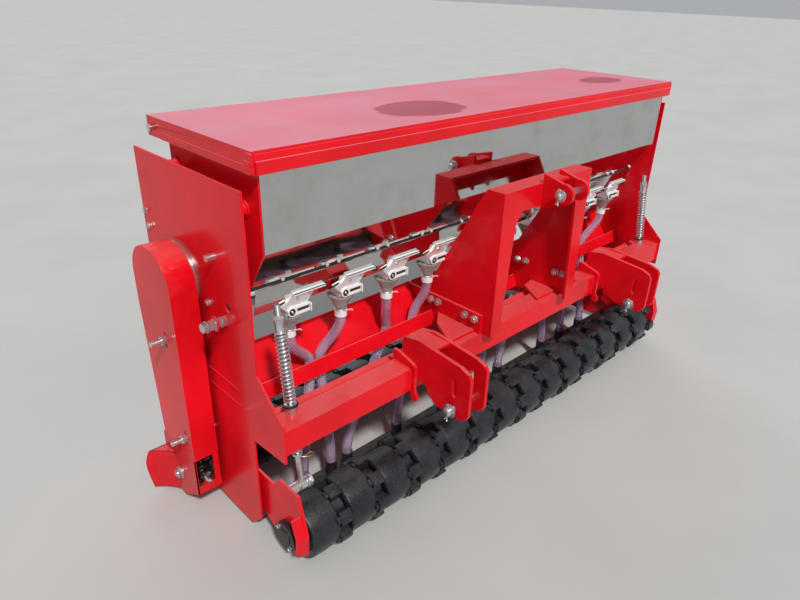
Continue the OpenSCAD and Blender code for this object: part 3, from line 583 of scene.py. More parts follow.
def tube_path(x, shift):
    """A seed tube's middle line, from its funnel to its boot."""
    top = Vector((x, FEED_Y, OUTLET_Z - 18))
    mid = Vector((x + shift[0], MID_Y, MID_Z))
    foot = Vector((x + shift[1], BOOT_Y, BOOT_Z + BOOT_H + 6))
    above = mid + Vector((-0.33 * shift[0], 0, 30))
    below = mid + Vector((0.2 * shift[0], 0, -25))
    upper = [cubic((top, top - UP * 40, above, mid), i / 12) for i in range(12)]
    lower = [cubic((mid, below, foot + UP * 70, foot), i / 22) for i in range(22)]
    return ([top + UP * 18, top + UP * 9] + upper + lower
            + [foot, foot - UP * (BOOT_H / 2), foot - UP * (BOOT_H - 4)])


def pipe(build, path, outer, inner, sides):
    """A thin-walled tube along an open path."""
    wall, bore = Build().tube(path, outer, sides), Build().tube(path, inner, sides)
    n, last = len(wall.v), len(path) * sides - sides
    faces = wall.f[:-2] + [[n + i for i in f[::-1]] for f in bore.f[:-2]]
    for k in range(sides):
        j = (k + 1) % sides
        faces.append([k, n + k, n + j, j])
        faces.append([last + j, n + last + j, n + last + k, last + k])
    build.add(wall.v + bore.v, faces)


def seed_tubes():
    """Thin-walled clear tubes, with wire clamps at their tops."""
    b = Build()
    for x, shift in zip(ROWS, SHIFTS):
        pipe(b, tube_path(x, shift), TUBE_R, TUBE_R - 2.2, 24)
    make("seed_tube_runs", b, "clear_tube", ("seed_tubes",), angle=60)
    w = Build()
    for x in ROWS:
        for z in (OUTLET_Z + 5.0, OUTLET_Z + 1.5):
            ring = [(*around(x, FEED_Y, TUBE_R + 1.6, a), z + 0.8 * math.sin(a)) for a in turns(28)]
            w.tube(ring, 0.9, 8, closed=True)
        for end in CLAMP_ENDS:
            w.tube([Vector((x, FEED_Y, OUTLET_Z)) + Vector(p) for p in end], 1.1, 8)
    make("tube_clamps", w, "zinc", finish="plated_steel")


# the metering units

PLATE_Y, LEVER_Z = 128.0, 547.0
# outlines seen from the front, about a unit's middle: [across, height]
PLATE_OUTLINE = ((-35, 566), (-31, 560), (-7, 538.5), (-1, 536.5), (5, 539), (32, 557), (55, 585),
                 (-4, 585), (-11, 577), (-20, 571))
LEVER_OUTLINE = ((-18, -5), (-14, -10), (-8, -12), (0, -11), (36, -10.5), (39, -8), (39, -4.2), (5, -4.2),
                 (5, 4.2), (39, 4.2), (39, 8), (36, 10.5), (4, 10.5), (-4, 12), (-13, 9), (-18, 3))
# the folded lip along the plate's slope, the housing behind it [y, z] and the funnel's profile
LIP_OUTLINE = ((32, 557), (34, 556.2), (57, 584.2), (55, 585))
HOUSING = ((128.3, TROUGH_Z - 0.3), (181.7, TROUGH_Z - 0.3), (181.7, 575), (174, 536), (128.3, 536))
FUNNEL = ((0.2, TUBE_R - 0.4), (8.5, TUBE_R), (9.5, TUBE_R + 2.2), (13, TUBE_R + 2.8), (22, 19.5),
          (40.5, 31.6), (42.5, 32.7), (43.8, 32.7))
STRIP_LEN, STRIP_LOW, STRIP_TOP = 81.5, 585.2, 588.6


def metering_units():
    """Ten units: a folded plate with a slotted lever, over a translucent funnel."""
    plates, levers, funnels, studs, dark = Build(), Build(), Build(), Build(), Build()
    y, h = PLATE_Y, LEVER_Z
    for x in ROWS:
        plates.prism(HOUSING, x - 19.8, x + 19.8)
        # pointed front plate with a lip folded back along its sloping edge
        plates.prism([(x + a, b) for a, b in PLATE_OUTLINE], y - 3, y, "xz")
        plates.prism([(x + a, b) for a, b in LIP_OUTLINE], y - 3, y + 13, "xz")
        # strip of the slide along the plate's top, its end turned down
        levers.box((x - 2, y - 9, STRIP_LOW), (x + STRIP_LEN, y + 1, STRIP_TOP))
        levers.box((x - 2, y - 9, STRIP_LOW - 2.4), (x + STRIP_LEN, y - 7.4, STRIP_TOP))
        # a dark block below the strip's turned-down end is painted shade
        dark.box((x + 78, y - 7, 574), (x + 88, y - 1, 585))
        # slotted lever on its pivot, with a turned end
        levers.prism([(x + a, h + b) for a, b in LEVER_OUTLINE], y - 7, y - 3, "xz")
        levers.box((x + 37, y - 13, h - 10), (x + 39.6, y - 3, h + 10))
        # a dark strip filling the lever's slot is painted shade
        dark.box((x + 5.5, y - 4.6, h - 4), (x + 37, y - 3.2, h + 4))
        dark.lathe((x - 8, y - 7, h), (0, -1, 0),
                   [(0, 7.6), (1.8, 7.6), (2.4, 6.4), (0.9, 5.0), (0.9, 0.5)], 24)
        studs.bar((x - 8, y - 3, h), (x - 8, y - 9, h), 3.2, 14)
        studs.nut((x + 8, y - 3, 574), (0, -1, 0), 7, 3.4)
        studs.nut((x + 41, y - 3, 578), (0, -1, 0), 7, 3.4, 0.4)
        funnels.lathe((x, FEED_Y, OUTLET_Z), UP, FUNNEL, 36)
    make("metering_plates", plates, "plated_steel", ("meter_bodies",), bevel=0.5)
    make("metering_levers", levers, "plated_steel", ("meter_levers",), bevel=0.6, finish="white_plastic")
    make("metering_funnels", funnels, "plated_steel", angle=50, finish="funnel")
    make("metering_studs", studs, "zinc")
    # this dark object holds the painted shade fills and the pivots' dark bushings
    make("metering_shade_fills_and_bushings", dark, "dark_steel")


def perforated_bar():
    """The dark slide bar keeps its solid; bright strips and screws lie along it."""
    low, high = (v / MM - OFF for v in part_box("slide_bar"))
    b = Build()
    for x in ROWS:
        b.box((x + 4, low.y - 1.5, high.z - 2.2), (x + 62, low.y + 3.0, high.z + 0.8))
        for dx in (-30, 84):
            b.nut((x + dx, (low.y + high.y) / 2 - 3, (low.z + high.z) / 2), (0, -1, -0.22), 7.5, 4.5)
    make("slide_strips", b, "zinc", bevel=0.4, finish="plated_steel")


# springs with their seats, nuts and knuckles

def rod_place(s, d, x=0.0, y=0.0):
    """A point at the distance d up a spring rod on side s, moved across it by x and y."""
    lean = math.radians(ROD_LEAN)
    return Vector((s * ROD_X + x, ROD_Y + d * math.sin(lean) + y * math.cos(lean),
                   ROD_Z + d * math.cos(lean) - y * math.sin(lean)))


# distances up the rod to the springs' ends, the springs' sizes and the clip's path from the rod
SEAT, SPRING_TOP, LOWER_TOP = 203.4, 391.4, 120.9
LOWER_LEN, SLEEVE_LEN, SPRING_R, WIRE_R = 38.0, 24.0, 13.6, 1.6
ROD_CLIP = ((0, -11, -1), (0, -2, -1), (8, -9, -1), (20, -15, -2), (31, -14, -3), (35, -8, -4),
            (31, -3, -4), (20, -5, -3), (9, -9, -1.5))


def coil_points(s, start, length, winds):
    """The wire's middle line on side s, with the last turn at each end wound close."""
    pts = []
    steps = int(winds * 26)
    r = SPRING_R - WIRE_R
    lead = WIRE_R + 0.3
    for i in range(steps + 1):
        t = i / steps
        a = 2 * math.pi * winds * t
        edge = min(1.0, t * winds, (1 - t) * winds)
        z = lead + (length - 2 * lead) * t
        squash = (1 - edge) * (length - 2 * lead) / winds * 0.42
        z += squash if t < 0.5 else -squash
        pts.append(rod_place(s, start + z, *around(0.0, 0.0, r, a)))
    return pts


def springs():
    """Both spring rods' coils, nuts, seats, clips and knuckles."""
    coils, parts, seats, clips = Build(), Build(), Build(), Build()
    for s in (-1, 1):
        up = (rod_place(s, 1) - rod_place(s, 0)).normalized()
        coils.tube(coil_points(s, SEAT, SPRING_TOP - SLEEVE_LEN - SEAT, 18), WIRE_R, 10)
        parts.lathe(rod_place(s, SPRING_TOP - SLEEVE_LEN), up,
                    [(0, 9.0), (0, 15.4), (2.6, 15.4), (3.0, 10.2), (SLEEVE_LEN - 1, 10.2),
                     (SLEEVE_LEN, 9.4)], 28)
        coils.tube(coil_points(s, LOWER_TOP - LOWER_LEN, LOWER_LEN, 4), WIRE_R, 10)
        # threads at the rod's top, as fine rings
        for i in range(14):
            d = SPRING_TOP + 13 + i * 1.5
            parts.lathe(rod_place(s, d), up, [(0, 6.5), (0.5, 6.9), (1.0, 6.5)], 20)
        seats.lathe(rod_place(s, SEAT - 4.5), up,
                    [(0, 12.6), (0, 16.6), (3.5, 16.6), (4.4, 15.0), (4.4, 12.6)], 28, closed=True)
        # clip through the rod under the beam
        c = rod_place(s, LOWER_TOP - LOWER_LEN - 9)
        clips.tube([c + Vector(p) for p in ROD_CLIP], 1.5, 10)
        # knuckle: a sleeve with a large head, washer and pin
        x = s * (ROD_X - 16)
        parts.washer((x, ROD_Y, ROD_Z), X * -s, 16.0, 2.5)
        parts.nut((x - s * 2, ROD_Y, ROD_Z), X * -s, 22, 9)
        parts.lathe((s * (ROD_X - 13.4), ROD_Y, ROD_Z), X * s,
                    [(0, 13.2), (0, 14.6), (4, 14.6), (4, 13.2)], 28, closed=True)
        for d in (8, 12):
            ring = [(s * (ROD_X + d), *around(ROD_Y, ROD_Z, 13.6, a)) for a in turns(24)]
            clips.tube(ring, 0.9, 8, closed=True)
    make("spring_coils", coils, "spring_steel", ("springs",), angle=70)
    make("spring_fittings", parts, "zinc")
    make("spring_seats", seats, "dark_steel")
    make("spring_clips", clips, "zinc", angle=70, finish="brass")


# fasteners on the frame

def clip_frame(place, drop):
    """The place of a clip on a pin, its own direction and the one across it."""
    d = Vector(drop).normalized()
    return Vector(place), d, X.cross(d).normalized()


def ring_clip(build, place, r, drop):
    """A linch pin: a stem through the pin and a sprung ring round it."""
    c, d, side = clip_frame(place, drop)
    build.tube([c - d * (r + 9), c + d * (r + 8)], 2.3, 12)
    ring = []
    for a in turns(30):
        ring.append(c - d * (r + 6) * math.cos(a) * 1.05 + side * (r + 7) * math.sin(a)
                    + X * (3.5 + 2.0 * math.cos(a)))
    build.tube(ring, 1.6, 10, closed=True)


def r_clip(build, place, drop):
    """A hairpin clip: a straight leg through the pin and a waved one round it."""
    c, d, side = clip_frame(place, drop)
    length = 34.0
    pts = [c - d * 13, c + d * (length * 0.55)]
    for i in range(9):
        a = math.pi * i / 8
        pts.append(c + d * (length * 0.55 + 5 * math.sin(a)) + side * (4 - 4 * math.cos(a)))
    for u, w in ((0.35, 8.5), (0.18, 11.5), (-0.05, 13.2), (-0.25, 11.5), (-0.34, 8.2), (-0.42, 8.8)):
        pts.append(c + d * length * u + side * w)
    build.tube(pts, 1.5, 10)


# bolts through the mast: [y, z] on the tie bars' outer faces and on the plates' inner faces
TIE_BOLTS = ((153, 413), (127, 414), (32, 414), (-1, 414))
PLATE_BOLTS = ((142, 434), (112, 437), (8, 436), (-19, 439))
# sizes across the flats, and how far the end of a mast's bolt stands out
MAST_BOLT, PLATE_SCREW, HOUSING_BOLT, ARM_BOLT, STUB = 17, 12, 10, 9, 6


def hitch_pin(build, clips, x0, x1, y, z, r):
    """A hitch pin with a domed head, a washer at each end and a cotter through it."""
    build.lathe((x0 - 7, y, z), X, [(0, r * 0.62), (1.6, r * 0.92), (3.5, r), (x1 - x0 + 5, r),
                                    (x1 - x0 + 7, r - 1.6)], 28)
    for x, d in ((x0 + 6, -1), (x1 - 6, 1)):
        build.washer((x, y, z), X * d, r + 6.0, 2.6)
    for y0, low, dx, dy in ((y, z - r - 9, -4, -3), (y + 2, z - r - 7, -3, 4)):
        clips.tube([(x0 - 1, y0, z + r + 4), (x0 - 1, y0, low), (x0 + dx, y0 + dy, low - 4)], 1.5, 10)
    clips.tube([(x0 - 1, *around(y + 1, z + r + 5, 3.4, a)) for a in turns(14)], 1.4, 8, closed=True)


def fasteners():
    """Bolts through the mast, and the hitch pins with their clips."""
    z, clips = Build(), Build()
    for y, h in TIE_BOLTS:
        for s, turn in ((-1, 0.2), (1, 0.4)):
            z.bolt((s * TIE_OUT, y, h), X * s, MAST_BOLT, turn + y * 0.01)
        z.bolt((-MAST_X, y, h), X, MAST_BOLT, 0.5 + y * 0.02, STUB)
    for y, h in PLATE_BOLTS:
        z.bolt((MAST_X, y, h), -X, MAST_BOLT, 0.3 + y * 0.02, STUB)
    make("frame_bolts", z, "zinc")
    pins = Build()
    out = LINK_GAP / 2 + LINK_T + 15
    for s in (-1, 1):
        hitch_pin(pins, clips, s * LINK_X - out, s * LINK_X + out, LINK_PIN_Y, LINK_PIN_Z, LINK_PIN_R - 0.3)
    make("lower_pins", pins, "zinc", ("link_pin_left", "link_pin_right"), angle=40)
    top = Build()
    edge = TOP_GAP / 2 + LUG_T
    hitch_pin(top, clips, -edge - 18, edge + 18, TOP_Y, TOP_Z, TOP_PIN_R - 0.3)
    make("top_link_pin", top, "zinc", ("top_pin",), angle=40)
    r_clip(clips, (edge + 13, TOP_Y, TOP_Z), (0, 0.75, 0.66))
    for s in (1, -1):
        ring_clip(clips, (s * LINK_X + out - 5, LINK_PIN_Y, LINK_PIN_Z), 9.0, (0, -0.35, -0.94))
    make("pin_clips", clips, "zinc", angle=70)


# screws on a side plate: [y, z], its two pressed folds: y from and to, heights,
# and the radii of the bolt circles on the rear housing and on the arm
PLATE_SCREWS = ((484, 708), (470, 676), (446, 625), (228, 574))
FOLD_Y0, FOLD_Y1, FOLD_HEIGHTS = 133.0, 262.0, (400.0, 360.0)
HOUSING_BOLTS, ARM_BOLTS = 34.0, 28.0


def side_plate_trim():
    """Pressed folds and screws on the end plates, and the bearing housings' bolts."""
    red, z = Build(), Build()
    for s in (-1, 1):
        x = s * PLATE_OUT
        for y, h in PLATE_SCREWS:
            z.bolt((x, y, h), X * s, PLATE_SCREW, y)
        for k in range(4):
            a = math.pi / 4 + k * math.pi / 2
            z.bolt((x + s * 12, *around(REAR_Y, AXLE_Z, HOUSING_BOLTS, a)), X * s, HOUSING_BOLT, a)
        for k in range(2):
            a = math.pi / 4 + k * math.pi
            z.bolt((x, *around(0.0, AXLE_Z, ARM_BOLTS, a)), X * s, ARM_BOLT, a)
        # two pressed folds across the plate
        for h in FOLD_HEIGHTS:
            red.prism([(FOLD_Y0, h - 3.5), (FOLD_Y1, h - 3.5), (FOLD_Y1 + 2, h), (FOLD_Y1, h + 1.0),
                       (FOLD_Y0, h + 1.0)], *sorted((x, x + s * 1.8)))
    make("plate_folds", red, "red_paint", bevel=0.7)
    make("plate_screws", z, "zinc")


# the foot under the chain guard: its front edge, the start of its level underside, heights,
# the flare's start, end, heights and reach, and the outline of the foot's face [y, z]
FOOT_Y, LEVEL_Y, FOOT_LOW, WINDOW_TOP, FOOT_TOP = 254.0, 335.0, 66.0, 88.0, 168.0
FLARE_Y0, FLARE_Y1, FLARE_LOW, FLARE_TOP, FLARE_OUT = 361.0, 412.0, 14.0, 127.0, 57.0
FOOT_FACE = ((FOOT_Y, FOOT_LOW), (LEVEL_Y, FLARE_LOW), (FLARE_Y0, FLARE_LOW), (FLARE_Y0, FLARE_TOP),
             (FLARE_Y1, FLARE_TOP), (FLARE_Y1, FOOT_TOP), (FOOT_Y, FOOT_TOP))


def flare_point(z, u, inset=0.0):
    """A point on the rolled flare, at height z and the part u of the way to its edge."""
    full = FLARE_TOP - 37
    if z > full:
        lost = 0.20 * ((z - full) / (FLARE_TOP - full)) ** 2
    else:
        lost = 0.18 * ((full - z) / (full - FLARE_LOW)) ** 1.4
    out = FLARE_OUT * (1 - lost) * (0.45 * u + 0.55 * u * u)
    return (-GUARD_X - out + inset, FLARE_Y0 + (FLARE_Y1 - FLARE_Y0) * u, z)


def foot():
    """The lower guard's sheet, with its rolled flare."""
    b = Build()
    t, x0, x1 = 2.5, -GUARD_X, -GUARD_X + 60
    b.prism(FOOT_FACE, x0, x0 + t)
    rows, cols = 12, 8
    heights = [FLARE_LOW + (FLARE_TOP - FLARE_LOW) * i / rows for i in range(rows + 1)]
    outer = [flare_point(z, k / cols) for z in heights for k in range(cols + 1)]
    inner = [flare_point(z, k / cols, t) for z in heights for k in range(cols + 1)]
    n, w = len(outer), cols + 1
    faces = []
    for i in range(rows):
        for k in range(cols):
            a = i * w + k
            faces += [[a, a + w, a + w + 1, a + 1], [n + a, n + a + 1, n + a + w + 1, n + a + w]]
        a, c = i * w, i * w + cols
        faces += [[a, n + a, n + a + w, a + w], [c, c + w, n + c + w, n + c]]
    for k in range(cols):
        a, c = k, rows * w + k
        faces += [[a, a + 1, n + a + 1, n + a], [c, n + c, n + c + 1, c + 1]]
    b.add(outer + inner, faces)
    # plates closing the flare's top and foot, and its back
    for z0, z1 in ((FLARE_LOW, FLARE_LOW + t), (FLARE_TOP - t, FLARE_TOP)):
        edge = [flare_point(z0, k / cols, 0.6)[:2] for k in range(cols + 1)]
        b.prism(edge + [(x0 + t, FLARE_Y1), (x0 + t, FLARE_Y0)], z0, z1, "xy")
    back = [flare_point(z, 1.0, 0.6) for z in heights]
    edge = [(p[0], p[2]) for p in back] + [(x0, FLARE_TOP), (x0, FOOT_TOP), (x1, FOOT_TOP), (x1, FLARE_LOW)]
    b.prism(edge, FLARE_Y1 - t, FLARE_Y1, "xz")
    # front with its window, sloping and level undersides
    b.box((x0, FOOT_Y, FOOT_LOW), (x1, FOOT_Y + t, WINDOW_TOP))
    b.box((x0, FOOT_Y, WINDOW_TOP), (x0 + 4, FOOT_Y + t, FOOT_TOP))
    b.box((x0 + 46, FOOT_Y, WINDOW_TOP), (x1, FOOT_Y + t, FOOT_TOP))
    b.prism([(FOOT_Y, FOOT_LOW), (LEVEL_Y, FLARE_LOW), (FLARE_Y1, FLARE_LOW), (FLARE_Y1, FLARE_LOW + t),
             (LEVEL_Y + 1, FLARE_LOW + t), (FOOT_Y + 1.5, FOOT_LOW + 2)], x0 + t, x1)
    # the foot takes the darker red of red_dull, which is painted shade for the guard's shaded faces
    make("guard_foot_sheet", b, "red_paint", ("guard_foot",), angle=30, finish="red_dull")


# the chain drive: links, teeth and what is bolted to the guard

# the links' pitch and plate height, and how far the chain runs outside its wheels' radii
PITCH, PLATE_H, RISE = 12.7, 9.5, 4.4


def belt_path(a, b):
    """A closed line round two wheels, each given as y, z and radius."""
    (ya, za, ra), (yb, zb, rb) = a, b
    ra, rb = ra + RISE, rb + RISE
    d = math.hypot(yb - ya, zb - za)
    along = math.atan2(zb - za, yb - ya)
    tilt = math.acos((ra - rb) / d)
    pts = []
    for c, r, a0, a1 in (((ya, za), ra, along + tilt, along + 2 * math.pi - tilt),
                         ((yb, zb), rb, along - tilt, along + tilt)):
        steps = max(8, int(abs(a1 - a0) * r / 4))
        pts += arc(*c, r, a0, a1, steps)
    return pts


def spaced(pts):
    """Points about one pitch apart along a closed line."""
    ring = pts + pts[:1]
    runs = [math.dist(p, q) for p, q in zip(ring, ring[1:])]
    total = sum(runs)
    count = int(round(total / PITCH / 2)) * 2
    out, i, done = [], 0, 0.0
    for k in range(count):
        goal = total * k / count
        while done + runs[i] < goal:
            done += runs[i]
            i += 1
        t = (goal - done) / runs[i]
        p, q = ring[i], ring[i + 1]
        out.append((p[0] + (q[0] - p[0]) * t, p[1] + (q[1] - p[1]) * t))
    return out


def chain_links(build, x, a, b):
    """A roller chain: rollers on pins, with inner and outer plates by turns."""
    pts = spaced(belt_path(a, b))
    n = len(pts)
    for i in range(n):
        p, q = Vector(pts[i]), Vector(pts[(i + 1) % n])
        build.lathe((x - 4.6, *p), X,
                    [(0, 1.7), (1.2, 1.7), (1.3, 3.9), (7.9, 3.9), (8.0, 1.7), (9.2, 1.7)], 10)
        d = (q - p).normalized()
        w = Vector((-d.y, d.x))
        wide, waist, tip = w * PLATE_H * 0.46, w * 3.0, w * 2.2
        mid = (p + q) / 2
        shape = [p - d * 3.4 - tip, p - wide, mid - waist, q - wide, q + d * 3.4 - tip,
                 q + d * 3.4 + tip, q + wide, mid + waist, p + wide, p - d * 3.4 + tip]
        gap = 2.7 if i % 2 else 3.8
        for side in (-1, 1):
            lo = x + side * gap
            build.prism([tuple(v) for v in shape], *sorted((lo, lo + side)))


def toothed(build, x, y, z, r, hub):
    """A toothed sprocket and its hub."""
    count = int(round(2 * math.pi * (r + RISE) / PITCH))
    outline = []
    for k in range(count):
        for da, rr in ((0.08, r - 1.0), (0.24, r + 0.6), (0.42, r + 5.6), (0.58, r + 5.6),
                       (0.76, r + 0.6), (0.92, r - 1.0)):
            outline.append(around(y, z, rr, 2 * math.pi * (k + da) / count))
    build.prism(outline, x - 2.5, x + 2.5)
    build.lathe((x - 8, y, z), X, [(0, hub), (1, hub + 1), (15, hub + 1), (16, hub)], 28)


def drive_chain():
    """Links of both chains, and the teeth of their wheels."""
    outer, inner = Build(), Build()
    chain_links(outer, -SPROCKET_X, (REAR_Y, AXLE_Z, DRIVE_R), (IDLER_Y, IDLER_Z, DRIVEN_R))
    chain_links(inner, -INNER_X, (FEED_Y, FEED_Z, DRIVEN_R / 2), (IDLER_Y, IDLER_Z, DRIVEN_R / 2))
    make("drive_chain_links", outer, "dark_steel", ("chain",))
    make("inner_chain_links", inner, "dark_steel", ("inner_chain",))
    low = Build()
    toothed(low, -SPROCKET_X, REAR_Y, AXLE_Z, DRIVE_R, 28.0)
    make("axle_sprocket_teeth", low, "dark_steel", body="rear_roller")
    high = Build()
    toothed(high, -SPROCKET_X, IDLER_Y, IDLER_Z, DRIVEN_R, 22.0)
    toothed(high, -INNER_X, IDLER_Y, IDLER_Z, DRIVEN_R / 2, 18.0)
    make("idler_sprocket_teeth", high, "zinc", body="idler")


# studs on the guard's face [y, z], the adjuster's place and the flanged bearing's two profiles
GUARD_STUDS = ((307, 476), (281, 224))
ADJUSTER = (165.0, 556.0)
FLANGE = ((0, 77), (7, 77), (8.2, 75.8), (7, 74), (1, 74), (0, 73))
FLANGE_FACE = ((0, 73.8), (2.6, 73.8), (3.2, 60), (7.5, 44), (8.5, 42), (8.5, 11.0), (0, 11.0))


def guard_trim():
    """What is bolted to the guard and to the plate behind it."""
    z, dark, red = Build(), Build(), Build()
    face, plate = -GUARD_X, -PLATE_OUT
    for y, h in GUARD_STUDS:
        z.washer((face - 10, y, h), -X, 9.5, 1.8)
        z.bar((face - 11, y, h), (face - 35.5, y, h), 6.4, 20, 1.6)
        # dark plates flush with the guard's face are painted shade standing in for open slots
        for low in (h + 11, h - 19):
            dark.box((face - 0.8, y - 2.2, low), (face + 0.4, y + 2.2, low + 8))
    # nut, washer and shaft end on the foot
    z.washer((face - 0.2, REAR_Y, AXLE_Z), -X, 17.5, 2.2)
    z.lathe((face - 10, REAR_Y, AXLE_Z), -X, [(0, 8.0), (3.0, 8.0), (4.0, 6.8)], 24)
    # threaded rod of the chain adjuster, its nuts and the red ear that they clamp
    y, h = ADJUSTER
    for i in range(16):
        z.lathe((plate - 51.0 + i * 1.9, *ADJUSTER), X, [(0, 6.0), (0.7, 6.9), (1.4, 6.0)], 18)
    for d in (12, 26, 44):
        z.nut((plate - d, *ADJUSTER), -X, 19, 9, 0.3 * d)
        z.washer((plate - d + 0.2, *ADJUSTER), X, 12.5, 1.8)
    ear = arc(*ADJUSTER, 17, math.radians(60), math.radians(300), 14)
    ear += [(y + 34, h - 44), (y + 42, h - 20)]
    red.prism(ear, plate - 25, plate - 21)
    red.box((plate - 25, y + 30, h - 44), (plate, y + 42, h - 22))
    # flanged bearing of the intermediate shaft, seen past the guard's edge
    bearing = (plate - 0.2, IDLER_Y, IDLER_Z)
    z.lathe(bearing, -X, FLANGE, 64, closed=True)
    dark.lathe(bearing, -X, FLANGE_FACE, 48, closed=True)
    make("guard_hardware", z, "zinc")
    # this dark object holds the painted slot shade and the bearing's own dark face
    make("guard_slot_shade_and_bearing_face", dark, "dark_steel")
    make("adjuster_ear", red, "red_paint", bevel=0.8)


# hems on the lid's front [z from, to, out] and on its ends [y from, to, z from, to, out]
FRONT_HEMS = ((LID_LOW + 0.4, LID_LOW + 9, 2.2), (LID_LOW + 12, LID_Z - 6, 1.1))
END_HEMS = ((LID_Y0 + 12, LID_Y1 - 60, LID_LOW + 0.5, LID_LOW + 15, 1.6),
            (LID_Y0 - 1, LID_Y0 + 16, LID_LOW + 2, LID_Z - 4, 2.4),
            (LID_Y0 + 3, LID_Y0 + 24, LID_LOW + 0.5, LID_LOW + 24, 3.2))


def lid_trim():
    """Folded hems along the lid's lower edges and the lapped corners of its front fold."""
    b = Build()
    for z0, z1, out in FRONT_HEMS:
        b.prism([(LID_Y0 - out, z0 + 1.5), (LID_Y0 - out + 1, z0), (LID_Y0 + 0.5, z0), (LID_Y0 + 0.5, z1),
                 (LID_Y0 - out + 1, z1), (LID_Y0 - out, z1 - 1.5)], -LID_X + 6, LID_X - 6)
    for s in (-1, 1):
        face = s * LID_X
        for y0, y1, z0, z1, out in END_HEMS:
            b.prism([(y0 + 2, z0), (y1 - 2, z0), (y1, z0 + 2), (y1, z1 - 2), (y1 - 2, z1), (y0 + 2, z1),
                     (y0, z1 - 2), (y0, z0 + 2)], *sorted((face, face + s * out)))
    make("lid_hems", b, "lid_paint", bevel=0.6, body="lid_body")


def weld(build, a, b):
    """A ripple of weld along a line."""
    a, b, r, pitch = Vector(a), Vector(b), 2.6, 5.0
    n = max(4, int((b - a).length / pitch) * 4)
    path = [a + (b - a) * (i / n) for i in range(n + 1)]
    build.tube(path, [r * (0.86 + 0.16 * math.cos(2 * math.pi * i / 4)) for i in range(n + 1)], 10)


def welds():
    """Welds on the front beam."""
    b = Build()
    for s in (-1, 1):
        brackets = [s * LINK_X + e * (LINK_GAP / 2 + LINK_T + 8.5) for e in (-1, 1)]
        for x in brackets:
            weld(b, (x, BEAM_Y, BEAM_TOP - 2), (x, BEAM_Y, BEAM_LOW + 4))
        for x in (*brackets, s * MAST_OUT, s * MAST_X):
            weld(b, (x, BEAM_Y + 4, BEAM_TOP), (x, BEAM_BACK - 4, BEAM_TOP))
        weld(b, (s * PLATE_X, BEAM_Y + 3, BEAM_TOP), (s * PLATE_X, BEAM_BACK - 3, BEAM_TOP))
        weld(b, (s * PLATE_X, BEAM_Y, BEAM_TOP - 3), (s * PLATE_X, BEAM_Y, BEAM_LOW + 3))
    make("weld_beads", b, "red_paint", angle=60)


# the polished apron under the trough: its flat part, then the lip below its fold at (126.6, 590.4)
APRON = ((121.1, 623.8), (128.1, 590.7), (126.6, 590.4), (119.6, 623.5))
APRON_LIP = ((128.1, 590.7), (133.9, 563.9), (135.6, 562.8), (135.0, 561), (132.4, 563), (126.6, 590.4))
# spacers from the box to the side plates [y, z] and the outline of the angle behind the beam
SPACERS = ((110, 800), (150, 720), (370, 830))
ANGLE = ((64, 350), (64, 356), (67, 358), (84, 358), (84, 352), (70, 352), (70, 338), (64, 338))


def between(end, half):
    """From and to along X, between the units, each half wide, out to the end."""
    edges = [-end] + [x + d for x in ROWS for d in (-half, half)] + [end]
    return zip(edges[::2], edges[1::2])


def hopper():
    """The box: an upright polished front, bent in to the trough, between red ends."""
    steel, red = Build(), Build()
    t, y0, y1, top, low = BOX_T, BOX_FRONT, BOX_BACK, BOX_TOP, TROUGH_Z
    front = [(y0, top), (y0, BEND_Z), (TROUGH_Y0, low), (FEED_Y - 12, low), (FEED_Y - 12, low + t),
             (TROUGH_Y0 + 1.4, low + t), (y0 + t, BEND_Z + 0.9), (y0 + t, top)]
    rear = [(FEED_Y + 12, low), (TROUGH_Y1, low), (y1, KNEE_Z), (y1, top), (y1 - t, top),
            (y1 - t, KNEE_Z + 1.2), (TROUGH_Y1 - 1.2, low + t), (FEED_Y + 12, low + t)]
    steel.prism(front[::-1], -BOX_X, BOX_X)
    steel.prism(rear, -BOX_X, BOX_X)
    # trough floor and the polished aprons, between the units
    for lo, hi in between(BOX_X, 12):
        steel.box((lo, FEED_Y - 12, low), (hi, FEED_Y + 12, low + t))
    steel.prism(APRON, -BOX_X + 8, BOX_X - 8)
    for lo, hi in between(BOX_X - 8, 20.5):
        steel.prism(APRON_LIP, lo, hi)
    make("hopper_sheet", steel, "stainless", ("hopper_shell",), bevel=0.5, angle=15)
    ear = [(HINGE_Y + a, HINGE_Z + b) for a, b in ((0, -10), (7, -7), (10, 0), (7, 7), (0, 10))]
    end = [(y0, top), (y0, BEND_Z), (TROUGH_Y0, low), (TROUGH_Y1, low), (y1, KNEE_Z), (y1, HINGE_Z - 10),
           *ear, (y1, HINGE_Z + 10), (y1, top)]
    for s in (-1, 1):
        red.prism(end[::-1], *sorted((s * BOX_X, s * (BOX_X + END_T))))
        # spacers to the side plate, each with a collar
        for y, z in SPACERS:
            red.lathe((s * (BOX_X + END_T), y, z), X * s,
                      [(0, 16), (3, 16), (4, 12), (PLATE_X - BOX_X - END_T, 12)], 24)
    make("hopper_end_plates", red, "red_paint", ("hopper_ends",), bevel=0.7)
    make("lower_angle", Build().prism(ANGLE, -PLATE_X, PLATE_X), "red_paint", bevel=0.7)


# camera, light and floor

CAM_AT = (-1330.0, -884.6, 1179.4)
CAM_RIGHT, CAM_UP = Vector((0.7237, -0.6896, 0.0271)), Vector((0.2926, 0.3421, 0.8929))
FOCAL_PX, WIDTH_PX, SENSOR = 629.7, 800, 36.0


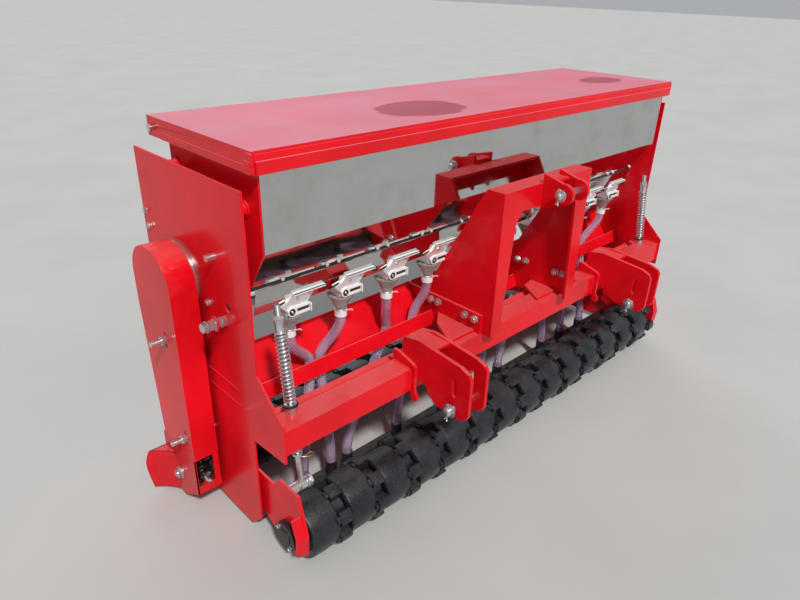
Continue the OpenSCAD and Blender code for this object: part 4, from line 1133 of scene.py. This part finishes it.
def camera():
    """The photograph's camera."""
    cam = bpy.data.cameras.new("view")
    cam.sensor_width = SENSOR
    cam.lens = FOCAL_PX * SENSOR / WIDTH_PX
    cam.clip_start, cam.clip_end = 0.05, 60.0
    obj = shown("view", cam)
    right = CAM_RIGHT.normalized()
    up = (CAM_UP - right * CAM_UP.dot(right)).normalized()
    back = right.cross(up)
    m = Matrix((right, up, back)).transposed().to_4x4()
    m.translation = at(*CAM_AT)
    obj.matrix_world = m
    bpy.context.scene.camera = obj


def lamp(name, away, power, colour, spread):
    """A soft sun, away from what it aims at, whose disc is spread degrees wide."""
    light = bpy.data.lights.new(name, "SUN")
    light.energy, light.color = power, colour
    light.angle = math.radians(spread)
    obj = shown(name, light)
    obj.location = AIM + away
    obj.rotation_euler = (AIM - obj.location).to_track_quat("-Z", "Y").to_euler()


# the lamps' aim, places from it and power, the sky's power, the floor's half width and drop
AIM = Vector((0.0, 0.1, 0.4))
KEY_FROM, FILL_FROM = Vector((-0.40, -0.91, 1.12)), Vector((1.4, 3.0, 2.4))
KEY_POWER, FILL_POWER, SKY_POWER = 3.0, 0.45, 0.43
FLOOR_HALF, FLOOR_DROP = 40.0, 0.0005


def studio():
    """One broad lamp in front on the left, a dim wide one behind, an even sky and a pale floor."""
    bpy.context.scene.view_settings.view_transform = "Standard"
    lamp("key", KEY_FROM.normalized() * 5.0, KEY_POWER, (1.0, 0.98, 0.95), 5.0)
    lamp("fill", FILL_FROM, FILL_POWER, (0.92, 0.96, 1.0), 40.0)
    world = bpy.data.worlds.new("sky")
    world.use_nodes = True
    bpy.context.scene.world = world
    nt = world.node_tree
    nt.nodes.clear()
    out = nt.nodes.new("ShaderNodeOutputWorld")
    sky = nt.nodes.new("ShaderNodeBackground")
    sky.inputs[0].default_value = (0.93, 0.96, 1.0, 1.0)
    sky.inputs[1].default_value = SKY_POWER
    nt.links.new(sky.outputs[0], out.inputs[0])
    floor = bpy.data.meshes.new("floor")
    e = FLOOR_HALF
    floor.from_pydata([(-e, -e, 0), (e, -e, 0), (e, e, 0), (-e, e, 0)], [], [(0, 1, 2, 3)])
    floor.materials.append(floor_material())
    obj = shown("floor", floor)
    obj.location.z = -FLOOR_DROP


camera()
studio()
dress_nodes()
rollers()
seed_tubes()
metering_units()
perforated_bar()
springs()
fasteners()
side_plate_trim()
drive_chain()
foot()
guard_trim()
lid_trim()
welds()
hopper()
